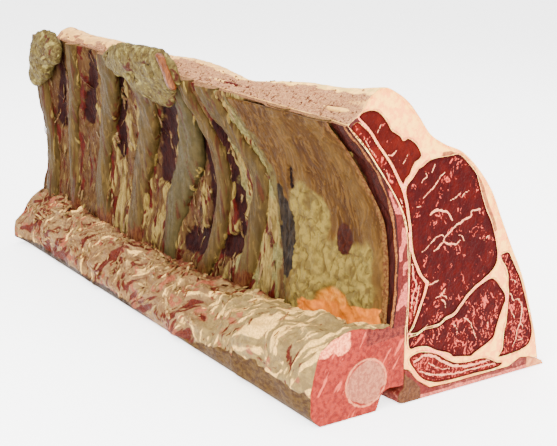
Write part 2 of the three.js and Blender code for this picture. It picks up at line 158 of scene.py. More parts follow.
def curve(points, count, closed=False):
    """Evenly spaced points on a centripetal curve through the given ones."""
    knots = np.array(points, float)
    if closed:
        knots = np.concatenate([knots[-1:], knots, knots[:2]])
    else:
        knots = np.concatenate([2 * knots[:1] - knots[1:2], knots, 2 * knots[-1:] - knots[-2:-1]])
    dense = []
    for p0, p1, p2, p3 in zip(knots, knots[1:], knots[2:], knots[3:]):
        d0, d1, d2 = (max(np.linalg.norm(b - a) ** 0.5, 1e-4) for a, b in ((p0, p1), (p1, p2), (p2, p3)))
        t1 = ((p1 - p0) / d0 - (p2 - p0) / (d0 + d1) + (p2 - p1) / d1) * d1
        t2 = ((p2 - p1) / d1 - (p3 - p1) / (d1 + d2) + (p3 - p2) / d2) * d1
        s = np.linspace(0, 1, 40, endpoint=False)[:, None]
        dense.append(p1 * (2 * s ** 3 - 3 * s ** 2 + 1) + t1 * (s ** 3 - 2 * s ** 2 + s)
                     + p2 * (3 * s ** 2 - 2 * s ** 3) + t2 * (s ** 3 - s ** 2))
    dense = np.concatenate(dense + [knots[-2:-1]])
    steps = np.linalg.norm(np.diff(dense, axis=0), axis=1)
    length = np.concatenate([[0], np.cumsum(steps)])
    wanted = np.linspace(0, length[-1], count + 1 if closed else count)
    spaced = np.stack([np.interp(wanted, length, column) for column in dense.T], axis=1)
    return spaced[:-1] if closed else spaced


def outward(ring):
    """Unit side vectors of a closed ring of plane points, away from its middle."""
    step = np.roll(ring, -1, axis=0) - np.roll(ring, 1, axis=0)
    side = np.stack([step[:, 1], -step[:, 0]], axis=1)
    side /= np.linalg.norm(side, axis=1)[:, None] + 1e-9
    area = np.sum(ring[:, 0] * np.roll(ring[:, 1], -1) - np.roll(ring[:, 0], -1) * ring[:, 1])
    return side * np.sign(area)


def inside(points, ring):
    """Which plane points lie in a closed ring."""
    x, y = points[:, :1], points[:, 1:]
    a, b = ring, np.roll(ring, -1, axis=0)
    crosses = (a[:, 1] > y) != (b[:, 1] > y)
    rise = np.where(b[:, 1] == a[:, 1], 1e-9, b[:, 1] - a[:, 1])
    return (crosses & (x < (b[:, 0] - a[:, 0]) * (y - a[:, 1]) / rise + a[:, 0])).sum(axis=1) % 2 == 1


def distance_to(points, line, closed=False):
    """How far each plane point is from a line, and how far along the line its nearest spot is."""
    line = np.asarray(line, float)
    a = line
    b = np.roll(line, -1, axis=0)
    if not closed:
        a, b = a[:-1], b[:-1]
    best = np.full(len(points), 1e9)
    where = np.zeros(len(points))
    for index, (p, q) in enumerate(zip(a, b)):
        way = q - p
        share = np.clip(((points - p) @ way) / max(way @ way, 1e-9), 0, 1)
        apart = np.linalg.norm(points - p - share[:, None] * way, axis=1)
        nearer = apart < best
        best[nearer] = apart[nearer]
        where[nearer] = (index + share[nearer]) / len(a)
    return best, where


# Pieces as closed skins

class Skin:
    """The points and faces of one closed piece."""

    def __init__(self):
        self.points = []
        self.faces = []
        self.count = 0

    def add(self, points):
        flat = np.reshape(points, (-1, 3))
        ids = self.count + np.arange(len(flat)).reshape(np.shape(points)[:-1])
        self.points.append(flat)
        self.count += len(flat)
        return ids

    def sheet(self, ids, around=False):
        """Quads over a grid of point ids, joined round its second direction if asked."""
        if around:
            ids = np.concatenate([ids, ids[:, :1]], axis=1)
        corners = (ids[:-1, :-1], ids[1:, :-1], ids[1:, 1:], ids[:-1, 1:])
        self.faces += np.stack([c.ravel() for c in corners], axis=1).tolist()

    def fill(self, rims, inner, place):
        """Triangles between closed rims of (ids, plane points) and over the loose inner points."""
        plane = np.concatenate([points for _, points in rims] + [inner])
        ids = np.concatenate([rim for rim, _ in rims] + [self.add(place(inner))])
        edges = []
        start = 0
        for rim, _ in rims:
            edges += [(start + k, start + (k + 1) % len(rim)) for k in range(len(rim))]
            start += len(rim)
        cut = delaunay_2d_cdt([Vector(p) for p in plane], edges, [], 0, 1e-7)
        origin = np.array([source[0] for source in cut[3]])
        triangles = origin[np.array(cut[2])]
        middles = plane[triangles].mean(axis=1)
        keep = inside(middles, rims[0][1])
        for _, hole in rims[1:]:
            keep &= ~inside(middles, hole)
        self.faces += ids[triangles[keep]].tolist()


def scattered(rims, spacing, seed, clear=0.6):
    """Jittered plane points inside the first ring, outside the others and clear of them all."""
    outer = rims[0]
    low, high = outer.min(axis=0), outer.max(axis=0)
    xs = np.arange(low[0], high[0], spacing)
    ys = np.arange(low[1], high[1], spacing * 0.87)
    grid = np.stack(np.meshgrid(xs, ys, indexing="ij"), axis=-1)
    grid[:, ::2, 0] += spacing / 2
    points = grid.reshape(-1, 2)
    points = points + np.random.default_rng(seed).uniform(-0.16, 0.16, points.shape) * spacing
    keep = inside(points, outer)
    for hole in rims[1:]:
        keep &= ~inside(points, hole)
    points = points[keep]
    for ring in rims:
        points = points[distance_to(points, ring, closed=True)[0] > clear * spacing]
    return points


def loft(sections, caps=None):
    """A closed skin along x through sections (stations, ring, 3); caps fill its ends."""
    skin = Skin()
    ids = skin.add(sections)
    skin.sheet(ids, around=True)
    for end in (0, -1):
        rim = sections[end]
        x = rim[0, 0]
        inner = scattered([rim[:, 1:]], caps, 3 + end) if caps else np.zeros((0, 2))
        skin.fill([(ids[end], rim[:, 1:])], inner, lambda p, x=x: np.insert(p, 0, x, axis=1))
    return skin


def slab(front, back, across, upward, layers, coarse):
    """A skin between a finely divided front and a coarse back over u and v from 0 to 1."""
    skin = Skin()
    u, v = np.meshgrid(np.linspace(0, 1, across), np.linspace(0, 1, upward), indexing="ij")
    ids = skin.add(front(u, v))
    skin.sheet(ids)

    def rim(grid):
        return np.concatenate([grid[:, 0], grid[-1, 1:], grid[-2::-1, -1], grid[0, -2:0:-1]])

    near, far = front(rim(u), rim(v)), back(rim(u), rim(v))
    rows = [rim(ids)] + [skin.add(mix(near, far, k / layers)) for k in range(1, layers + 1)]
    skin.sheet(np.stack(rows, axis=0), around=True)
    plane = np.stack([rim(u) * across, rim(v) * upward], axis=1)
    inner = scattered([plane], coarse, 5)
    skin.fill([(rows[-1], plane)], inner, lambda p: back(p[:, 0] / across, p[:, 1] / upward))
    return skin


def blob(outline, middle, front, back, rings=24):
    """A swollen lump round a closed outline of (x, z), bulging to the front and to the back."""
    centre = outline.mean(axis=0)
    skin = Skin()
    rows = []
    for turn in np.linspace(-math.pi / 2, math.pi / 2, 2 * rings + 1)[1:-1]:
        share = math.cos(turn) ** 0.7
        spot = mix(centre, outline, share)
        swell = (front if turn < 0 else back) * math.sin(turn)
        y = middle(spot[:, 0], spot[:, 1]) + swell
        rows.append(skin.add(np.stack([spot[:, 0], y, spot[:, 1]], axis=1)))
    skin.sheet(np.stack(rows, axis=0), around=True)
    for row, swell in ((rows[0], -front), (rows[-1], back)):
        pole = skin.add(np.array([[centre[0], middle(*centre[:, None])[0] + swell, centre[1]]]))[0]
        skin.faces += [[a, b, pole] for a, b in zip(row.tolist(), np.roll(row, -1).tolist())]
    return skin


def read(mesh, values, name, width):
    flat = np.empty(len(values) * width, np.float32)
    values.foreach_get(name, flat)
    return flat.reshape(-1, width).astype(float)


LOW = np.array(CAD_LOW) / MILLI + (0, MID_ACROSS, 0)
HIGH = np.array(CAD_HIGH) / MILLI + (0, MID_ACROSS, 0)
INSET = 0.02


def piece(name, skin, material, masks=None, relief=None, nodes=()):
    """Makes one object of a skin: closed, turned outwards, carved by its relief and masked."""
    points = np.concatenate(skin.points)
    mesh = bpy.data.meshes.new(name)
    mesh.from_pydata(points.tolist(), [], skin.faces)
    shell = bmesh.new()
    shell.from_mesh(mesh)
    bmesh.ops.remove_doubles(shell, verts=shell.verts, dist=0.002)
    bmesh.ops.dissolve_degenerate(shell, edges=shell.edges, dist=0.0005)
    bmesh.ops.recalc_face_normals(shell, faces=shell.faces)
    shell.to_mesh(mesh)
    shell.free()
    points = read(mesh, mesh.vertices, "co", 3)
    normals = read(mesh, mesh.vertices, "normal", 3)
    values = masks(points, normals) if masks else {}
    if relief:
        points = points + normals * relief(points, normals, values)[:, None]
    points = np.clip(points, LOW + INSET, HIGH - INSET)
    mesh.vertices.foreach_set("co", ((points - (0, MID_ACROSS, 0)) * MILLI).astype(np.float32).ravel())
    for label, value in values.items():
        layer = mesh.attributes.new(label, "FLOAT", "POINT")
        layer.data.foreach_set("value", np.broadcast_to(value, len(points)).astype(np.float32))
    mesh.polygons.foreach_set("use_smooth", np.ones(len(mesh.polygons), bool))
    mesh.update()
    return settle(name, mesh, material, nodes)


def settle(name, mesh, material, nodes=()):
    """Links a finished mesh as an object that rides on the loin."""
    shape = bpy.data.objects.new(name, mesh)
    bpy.context.scene.collection.objects.link(shape)
    mesh.materials.clear()
    mesh.materials.append(material)
    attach(shape, "root")
    if nodes:
        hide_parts(*nodes)
    return shape


# The loin's own form, as its solids have it

SIDE_NEAR = [(60, 57), (80, 58), (102, 57), (120, 55), (132, 52), (145, 47), (159, 40), (173, 31),
             (191, 14), (215, 5)]
SIDE_FAR = [(0, 23), (53, 24), (80, 26), (110, 26), (160, 23), (215, 20)]
SIDE_BEND = 1.4
WALL_THICK = [(60, 12.5), (118, 12.5), (130, 11.5), (142, 9.5), (157, 6.2), (168, 4.8), (215, 4.8)]
CUT_STRETCH = 34.0
CHINE_TOP = [(-257, 53), (-150, 47), (-60, 42), (60, 40), (110, 42), (180, 48), (257, 57)]
FAR_DROP = 6.0


def rib_side(x, z):
    share = np.clip((x + END) / LENGTH, 0, 1) ** SIDE_BEND
    return mix(along(SIDE_FAR, z), along(SIDE_NEAR, z), share)


def wall_back(x, z):
    thicker = 4.2 * smooth(135, 165, z) * smooth(END, END - CUT_STRETCH, x)
    return rib_side(x, z) + along(WALL_THICK, z) + thicker


def wall_top(x):
    return mix(WALL_TOP_FAR, WALL_TOP_NEAR, smooth(-END, END, x))


def chine_top(x):
    return along(CHINE_TOP, x, 12)


def carried(x, y, z):
    """A point of the fresh cut carried back along the loin."""
    near, here = wall_back(END, z), wall_back(x, z)
    drop = FAR_DROP * (1 - smooth(-END, END, x)) * smooth(100, 190, y) * (1 - smooth(100, 212, z))
    return here + (y - near) * (BACK_REACH - here) / (BACK_REACH - near) - drop


RIDGE = [(-257, 208), (-190, 207), (-120, 203), (-40, 204), (50, 201), (100, 197), (150, 200),
         (200, 205), (240, 210), (257, BLOCK_TOP)]


def carried_height(x, y, z):
    """The height a point of the fresh cut has at a station: it dips with the fat's ridge."""
    return z + (along(RIDGE, x) - BLOCK_TOP) * smooth(28, 47, y) * smooth(150, 205, z)


def crag(x, y, z):
    slow = np.sin(x * 0.071 + 1.3) * np.cos(y * 0.11 + z * 0.05)
    quick = np.sin(x * 0.19 + y * 0.13 + 0.4) * np.sin(z * 0.21 + y * 0.17 + 2.1)
    return 0.6 * slow + 0.4 * quick


# Colours and finishes

AGX_IN = np.array([(0.842479, 0.0784336, 0.0792237), (0.0423282, 0.878469, 0.0791661),
                   (0.0423757, 0.0784336, 0.879143)])
AGX_LOW, AGX_HIGH = -12.47393, 4.026069
AGX_CURVE = (15.5, -40.14, 31.96, -6.868, 0.4298, 0.1191, -0.00232)
LIGHT_LEVEL = 4.0


def base(red, green, blue, level=1.0):
    """The base colour that looks like this display colour, 0 to 255, under the studio's light."""
    steps = np.linspace(0, 1, 512)
    shown = np.polyval(AGX_CURVE, steps)
    wanted = AGX_IN @ (np.array([red, green, blue]) / 255)
    stops = np.interp(wanted, shown, steps) * (AGX_HIGH - AGX_LOW) + AGX_LOW
    colour = np.linalg.solve(AGX_IN, 2 ** stops) / (LIGHT_LEVEL * level)
    return tuple(float(c) for c in np.clip(colour, 0.002, 0.95)) + (1.0,)


class Finish:
    """One procedural material, built up from a ground colour and masked layers."""

    def __init__(self, name):
        self.material = bpy.data.materials.new(name)
        self.material.use_nodes = True
        self.tree = self.material.node_tree
        self.tree.nodes.clear()
        self.place = self.node("ShaderNodeTexCoord").outputs["Object"]
        self.colour = None
        self.rough = None
        self.height = None

    def node(self, kind, links=(), **values):
        made = self.tree.nodes.new(kind)
        for key, value in values.items():
            setattr(made, key, value)
        for socket, source in dict(links).items():
            if hasattr(source, "is_output"):
                self.tree.links.new(source, made.inputs[socket])
            else:
                made.inputs[socket].default_value = source
        return made

    def noise(self, size, stretch=None, detail=4.0, rough=0.6, warp=0.0, turn=(0, 0, 0), shift=0.0):
        """Noise from 0 to 1 with features of a size in mm, longer along the stretched axes."""
        place = self.place
        if stretch or shift or any(turn):
            scale = [1 / s for s in (stretch or (1, 1, 1))]
            mapping = self.node("ShaderNodeMapping", {"Vector": place}, vector_type="TEXTURE")
            mapping.inputs["Location"].default_value = (shift, shift * 0.7, shift * 1.3)
            mapping.inputs["Rotation"].default_value = [math.radians(a) for a in turn]
            mapping.inputs["Scale"].default_value = [1 / s for s in scale]
            place = mapping.outputs[0]
        return self.node("ShaderNodeTexNoise", {
            "Vector": place, "Scale": 1 / (size * MILLI), "Detail": detail, "Roughness": rough,
            "Distortion": warp}).outputs["Fac"]

    def cells(self, size, feature="F1", stretch=None, random=1.0):
        place = self.place
        if stretch:
            mapping = self.node("ShaderNodeMapping", {"Vector": place}, vector_type="TEXTURE")
            mapping.inputs["Scale"].default_value = stretch
            place = mapping.outputs[0]
        return self.node("ShaderNodeTexVoronoi", {
            "Vector": place, "Scale": 1 / (size * MILLI), "Randomness": random},
            feature=feature).outputs["Distance"]

    def mask(self, name):
        return self.node("ShaderNodeAttribute", attribute_name=name).outputs["Fac"]

    def maths(self, operation, a, b=0.0, clamp=False):
        return self.node("ShaderNodeMath", {0: a, 1: b}, operation=operation, use_clamp=clamp).outputs[0]

    def step(self, value, low, high, bottom=0.0, top=1.0):
        """A soft step of a value between two levels."""
        return self.node("ShaderNodeMapRange", {
            "Value": value, "From Min": low, "From Max": high, "To Min": bottom, "To Max": top},
            interpolation_type="SMOOTHSTEP").outputs[0]

    def blend(self, share, a, b):
        made = self.node("ShaderNodeMix", {0: share}, data_type="RGBA")
        for socket, source in ((6, a), (7, b)):
            if hasattr(source, "is_output"):
                self.tree.links.new(source, made.inputs[socket])
            else:
                made.inputs[socket].default_value = source
        return made.outputs[2]

    def ground(self, first, second, size, third=None, stretch=None, rough=(0.4, 0.6), warp=0.4, fine=None):
        """The ground: two or three colours in patches of a size, and its roughness range."""
        patches = self.noise(size, stretch, detail=5, warp=warp)
        self.colour = self.blend(self.step(patches, 0.38, 0.62), first, second)
        if third:
            more = self.noise(size * 0.45, stretch, detail=5, warp=warp, shift=0.31)
            self.colour = self.blend(self.step(more, 0.52, 0.66), self.colour, third)
        self.rough = self.step(self.noise(fine or size * 0.4, shift=0.17), 0.3, 0.7, *rough)
        return self

    def layer(self, mask, first, second=None, size=4.0, edge=(0.4, 0.6), broken=0.6, strength=1.0,
              rough=None, stretch=None, warp=0.3, turn=(0, 0, 0), raised=0.0):
        """A colour laid over where a mask, broken up by noise, is high."""
        cover = self.mask(mask) if isinstance(mask, str) else mask
        grain = self.noise(size, stretch, detail=6, rough=0.65, warp=warp, turn=turn, shift=0.07)
        ragged = self.maths("ADD", cover, self.maths("MULTIPLY", self.maths("SUBTRACT", grain, 0.5), broken))
        share = self.step(ragged, *edge, 0.0, strength)
        paint = first
        if second:
            tone = self.noise(size * 0.6, stretch, detail=4, turn=turn, shift=0.43)
            paint = self.blend(self.step(tone, 0.4, 0.6), first, second)
        self.colour = self.blend(share, self.colour, paint)
        if rough is not None:
            self.rough = self.node("ShaderNodeMix", {0: share, 2: self.rough, 3: rough}).outputs[0]
        if raised:
            lift = self.maths("MULTIPLY", share, raised)
            self.height = lift if self.height is None else self.maths("ADD", self.height, lift)
        return share

    def bumps(self, *parts):
        """Adds (noise, depth in mm) to the height of the surface."""
        for source, depth in parts:
            lift = self.maths("MULTIPLY", source, depth)
            self.height = lift if self.height is None else self.maths("ADD", self.height, lift)
        return self

    def finish(self, glow=0.0, reach=(1.0, 0.35, 0.2), glow_mm=2.0, coat=0.0, coat_rough=0.2,
               specular=0.5, bump=1.0, shine=0.0, dim=1.0):
        if dim != 1.0:
            scaled = self.node("ShaderNodeVectorMath", {0: self.colour, 3: dim}, operation="SCALE")
            self.colour = scaled.outputs[0]
        shader = self.node("ShaderNodeBsdfPrincipled", {
            "Base Color": self.colour, "Roughness": self.rough, "Specular IOR Level": specular,
            "Coat Weight": coat, "Coat Roughness": coat_rough, "Emission Strength": shine,
            "Emission Color": (1.0, 1.0, 1.0, 1.0)})
        if glow:
            shader.inputs["Subsurface Weight"].default_value = glow
            shader.inputs["Subsurface Radius"].default_value = reach
            shader.inputs["Subsurface Scale"].default_value = glow_mm * MILLI
        if self.height is not None:
            normal = self.node("ShaderNodeBump", {
                "Height": self.height, "Strength": bump, "Distance": MILLI}).outputs["Normal"]
            self.tree.links.new(normal, shader.inputs["Normal"])
        output = self.node("ShaderNodeOutputMaterial")
        self.tree.links.new(shader.outputs[0], output.inputs["Surface"])
        return self.material


# Sizes and colours a user may change

class LoinSettings(bpy.types.PropertyGroup):
    """Sizes shared by the loin's pieces."""
    grain: FloatProperty(name="Grain", description="Spacing of the finest surface points", default=1.15,
                         min=0.5, max=6.0)
    seed: IntProperty(name="Seed", description="Picks the scattered shreds", default=4, min=0)
    shreds: IntProperty(name="Shreds", description="Torn shreds of fat and meat that stand up",
                        default=260, min=0, max=6000)
    crumbs: IntProperty(name="Crumbs", description="Crumbs of saw dust on the sawn edge",
                        default=700, min=0, max=6000)
    crags: FloatProperty(name="Crags", description="Depth of the torn relief, as a factor", default=1.0,
                         min=0.0, max=3.0, subtype="FACTOR")


class StudioSettings(bpy.types.PropertyGroup):
    """The camera and the light."""
    lens: FloatProperty(name="Lens", description="Focal length of the camera", default=72.2,
                        min=10.0, max=300.0, subtype="DISTANCE_CAMERA")
    place: FloatVectorProperty(name="Place", description="Where the camera stands", size=3,
                               default=(0.7856, -0.4675, 0.3071), unit="LENGTH")
    turn: FloatVectorProperty(name="Turn", description="How the camera is turned", size=3,
                              default=(math.radians(75), 0.0, math.radians(57)), subtype="EULER")
    key: FloatProperty(name="Key light", description="Power of the soft key light", default=80.0,
                       min=0.0, unit="POWER")
    fill: FloatProperty(name="Fill light", description="Power of the fill light", default=36.0,
                        min=0.0, unit="POWER")
    sky: FloatProperty(name="Sky", description="Strength of the even light from all round", default=1.9,
                       min=0.0)


def settings():
    return bpy.context.scene.loin_settings


# Ribs

RIBS = [
    [(-238, 215, 20), (-242, 155, 21), (-236, 121, 21), (-232, 84, 19), (-236, 36, 20)],
    [(-157, 215, 15), (-164, 166, 15), (-178, 127, 15), (-184, 95, 15), (-177, 36, 16)],
    [(-80, 215, 26), (-90, 174, 24), (-112, 128, 20), (-125, 93, 20), (-121, 34, 30)],
    [(-10, 215, 22), (-29, 155, 25), (-50, 115, 25), (-63, 75, 22), (-67, 32, 24)],
    [(28, 215, 18), (39, 168, 20), (26, 128, 31), (2, 92, 29), (-6, 65, 20), (-8, 32, 18)],
    [(56, 215, 14), (58, 180, 14), (72, 143, 16), (70, 105, 16), (60, 70, 16), (36, 30, 18)],
    [(90, 215, 24), (91, 180, 24), (104, 159, 20), (121, 138, 20), (114, 100, 18), (90, 30, 18)],
    [(188, 215, 24), (177, 174, 22), (176, 143, 22), (181, 100, 22), (184, 36, 24)],
    [(226, 215, 26), (226, 174, 24), (233, 140, 24), (240, 108, 23), (243, 36, 22)],
]
LINED_RIBS = (7, 8)
LINED_DEPTH = 3.4
RIB_STAND = 2.0
RIB_WIDER = 1.16
RIB_PROUD = 1.8
RIB_STOPS = 120
RIB_SIDES = 56
RIB_CURVES = [curve(track, RIB_STOPS) for track in RIBS]


def rib_middle(index, z):
    track = RIB_CURVES[index][::-1]
    return np.interp(z, track[:, 1], track[:, 0])


def off_rib(x, z):
    """Distance along x to the middle of the nearest rib."""
    return np.min([np.abs(x - rib_middle(i, z)) for i in range(len(RIBS))], axis=0)


def rib_skin(index):
    """A rib as rings from the chine up to the sawn end, closed by a sawn face."""
    sunk = LINED_DEPTH if index in LINED_RIBS else 0
    track = RIB_CURVES[index][::-1]
    turn = np.linspace(0, 2 * math.pi, RIB_SIDES, endpoint=False)
    c, s = np.cos(turn), np.sin(turn)
    rows = []
    for x, z, width in track:
        if z > wall_top(x) + 1:
            break
        front = rib_side(x, z) - RIB_STAND + (sunk or -RIB_PROUD)
        back = wall_back(x, z) - 2.2
        half = (back - front) / 2
        flat = np.abs(s) ** 0.8 * np.sign(s)
        rows.append(np.stack([x + RIB_WIDER * width / 2 * np.sign(c) * np.abs(c) ** 0.85,
                              front + half + half * flat, np.full_like(c, z)], axis=1))
    top = rows[-1].copy()
    top[:, 2] = wall_top(top[:, 0]) + 1
    rows.append(top)
    skin = Skin()
    ids = skin.add(np.stack(rows, axis=0))
    skin.sheet(ids, around=True)
    for end in (0, -1):
        rim = rows[end]
        height = rim[:, 2].mean()
        inner = scattered([rim[:, :2]], 1.3, 40 + index)
        skin.fill([(ids[end], rim[:, :2])], inner, lambda p, h=height: np.insert(p, 2, h, axis=1))
    return skin


def bone_finish():
    finish = Finish("rib bone")
    finish.ground(base(150, 122, 70), base(128, 98, 50), 9, base(168, 142, 88), stretch=(0.7, 0.8, 3.0),
                  rough=(0.4, 0.6), warp=0.8)
    finish.layer("grey", base(144, 128, 84), base(124, 110, 68), size=10, edge=(0.3, 0.8), broken=0.6,
                 strength=0.8)
    finish.layer("streak", base(150, 84, 50), base(118, 62, 36), size=3, edge=(0.35, 0.8), broken=0.6,
                 stretch=(1, 1, 6), strength=0.85)
    finish.layer("foot", base(140, 54, 34), base(172, 118, 76), size=4, edge=(0.4, 0.7), broken=0.9,
                 stretch=(1, 1, 2.5), strength=0.9)
    finish.layer("flank", base(112, 38, 26), base(142, 72, 44), size=3, edge=(0.4, 0.62), broken=0.6,
                 stretch=(1, 1, 3), strength=0.9)
    finish.layer("shred", base(182, 158, 102), base(204, 186, 130), size=2.4, edge=(0.4, 0.62), broken=0.7,
                 stretch=(1, 1, 4), raised=0.4)
    finish.layer("sawn", base(212, 186, 146), base(176, 116, 86), size=1.6, edge=(0.4, 0.6), broken=0.3,
                 rough=0.7)
    finish.bumps((finish.noise(3, (1, 1, 5), detail=5), 0.5), (finish.noise(0.7, detail=3), 0.12))
    return finish.finish(glow=0.05, glow_mm=1.2, specular=0.03, dim=0.66)


RIB_GREY = (0.25, 0.2, 0.35, 0.35, 0.85, 0.1, 0.3, 0.1, 0.1)
RIB_RED = (0.3, 0.9, 1.0, 1.0, 0.4, 0.6, 0.9, 0.2, 0.2)


def rib_masks(index):
    def masks(p, n):
        x, z = p[:, 0], p[:, 2]
        middle = rib_middle(index, z)
        half = np.interp(z, RIB_CURVES[index][::-1, 1], RIB_CURVES[index][::-1, 2]) / 2
        across = (x - middle) / (half * RIB_WIDER)
        side = np.abs(across)
        torn_edge = side + 0.22 * noise(p, (7, 7, 22), 35 + index, 3) - 0.1 * across
        flank = smooth(0.86, 1.05, torn_edge) * (1 - smooth(wall_top(x) - 6, wall_top(x), z))
        sawn = smooth(0.5, 0.8, n[:, 2]) * smooth(wall_top(x) - 2, wall_top(x), z)
        foot = RIB_RED[index] * (1 - smooth(chine_top(x) - 2, chine_top(x) + 30, z + 8 * noise(p, 9, 45, 2)))
        torn = noise(p, (3.6, 7, 30), 5 + index, 3)
        shred = smooth(-0.1, 0.6, torn) * smooth(0.7, 1.1, side + 0.4 * noise(p, (9, 9, 30), 15 + index, 2))
        streak = smooth(-0.05, 0.5, noise(p, (4, 8, 50), 25 + index, 3))
        return {"grey": np.full(len(p), RIB_GREY[index]) + 0.3 * noise(p, 24, 3 + index, 2),
                "flank": flank, "sawn": sawn, "foot": foot * (1 - sawn), "shred": shred * (1 - sawn),
                "streak": streak * (1 - sawn) * (1 - flank)}
    return masks


def rib_relief(index):
    def relief(p, n, masks):
        crags = settings().crags
        form = 1.8 * noise(p, (13, 13, 30), 50 + index, 3)
        strands = 1.8 * masks["shred"] - 0.6 * masks["flank"] + 0.6 * noise(p, (3.4, 5, 24), 60 + index, 2)
        grain = 0.16 * noise(p, (1.6, 1.6, 5), 70 + index, 2)
        sawn = masks["sawn"] * (0.5 * noise(p, 2.2, 80 + index, 2) - 0.3)
        return crags * ((form + strands + grain) * (1 - masks["sawn"]) + sawn)
    return relief


class LOIN_OT_ribs(bpy.types.Operator):
    """Makes the nine sawn ribs with their greyish skin and torn flanks"""
    bl_idname = "loin.ribs"
    bl_label = "Ribs"

    def execute(self, context):
        finish = bone_finish()
        for index in range(len(RIBS)):
            name = f"rib_{index + 1}"
            piece(f"{name}_bone", rib_skin(index), finish, rib_masks(index), rib_relief(index),
                  [name])
        return {"FINISHED"}


# The lean between the ribs

HOLLOW_FAR = 4.6
HOLLOW_NEAR = 3.0


def lean_front(x, z):
    deep = mix(HOLLOW_FAR, HOLLOW_NEAR, smooth(0, 160, x))
    low = smooth(45, 85, z)
    hollow = deep * smooth(5, 20, off_rib(x, z)) * mix(0.25, 1, low)
    return np.minimum(rib_side(x, z) + hollow + 0.8 * crag(x, 0, z), wall_back(x, z) - 3)


def between(x, z):
    """One in the spaces between the ribs, nothing on a rib."""
    return smooth(7, 15, off_rib(x, z))


def lean_finish():
    finish = Finish("lean between the ribs")
    finish.ground(base(150, 112, 68), base(128, 80, 46), 7, base(166, 136, 88), stretch=(0.7, 1, 2.6),
                  rough=(0.4, 0.6), warp=0.8)
    finish.layer("cream", base(176, 154, 100), base(200, 182, 128), size=3, edge=(0.3, 0.7), broken=0.7,
                 stretch=(0.8, 1, 4.5), rough=0.5, raised=0.4)
    finish.layer("red", base(150, 50, 32), base(122, 38, 24), size=3, edge=(0.38, 0.64), broken=0.7,
                 stretch=(1, 1, 3))
    # painted shade: dark red in the sunk slits between the ribs
    finish.layer("dark", base(72, 20, 13), base(98, 34, 22), size=4, edge=(0.36, 0.66), broken=0.6,
                 stretch=(1, 1, 2.5), rough=0.5)
    finish.layer("green", base(164, 152, 104), base(186, 176, 128), size=4, edge=(0.4, 0.6), broken=0.5)
    finish.layer("foot", base(226, 178, 122), base(208, 190, 136), size=9, edge=(0.35, 0.6), broken=0.4)
    finish.layer("band", base(122, 44, 32), base(92, 30, 22), size=3, edge=(0.4, 0.6), broken=0.5,
                 stretch=(1, 1, 4))
    finish.layer("pale", base(182, 84, 76), base(160, 58, 52), size=3, edge=(0.35, 0.6), broken=0.4)
    finish.layer("marble", base(236, 182, 168), base(222, 150, 138), size=1.6, edge=(0.4, 0.65), broken=0.5)
    finish.layer("rim", base(206, 160, 108), base(180, 116, 76), size=2, edge=(0.4, 0.6), broken=0.4)
    finish.layer("sawn", base(158, 100, 72), base(206, 172, 134), size=1.5, edge=(0.4, 0.62), broken=0.7,
                 rough=0.75)
    finish.bumps((finish.noise(2.4, (0.7, 1, 4), detail=6, warp=0.6), 0.9),
                 (finish.noise(0.8, detail=3), 0.2))
    return finish.finish(glow=0.03, glow_mm=1.0, specular=0.05, dim=0.8)


# Slits between the ribs, sunk and painted near-black as painted shade, each a width and a line of (x, height)
SLITS = [
    (22, [(-203, 190), (-208, 155), (-213, 131)]),
    (20, [(-129, 192), (-139, 164), (-150, 139)]),
    (14, [(-68, 190), (-85, 153), (-94, 116)]),
    (24, [(12, 180), (-5, 147), (-22, 111)]),
    (17, [(51, 156), (52, 132), (53, 114)]),
    (9, [(53, 114), (48, 87), (40, 65)]),
    (24, [(22, 60), (43, 66)]),
    (13, [(78, 163), (83, 125), (88, 107), (91, 87)]),
    (18, [(73, 66), (87, 74)]),
]

# How creamy each space between two ribs is, and how creamy the wall past the last bare rib
CREAMY = [(-210, 0.1), (-140, 0.3), (-85, 0.55), (-30, 0.5), (15, 0.3), (50, 0.35), (90, 0.55), (120, 0.7)]


def lean_strand(p):
    """The torn upright strands, from -1 in their hollows to 1 on their crests."""
    torn = swirl(p, 30, 300, 0.22)
    return 0.7 * noise(torn, (4.2, 8, 40), 22, 3) + 0.45 * noise(torn, (2.2, 5, 18), 24, 2)


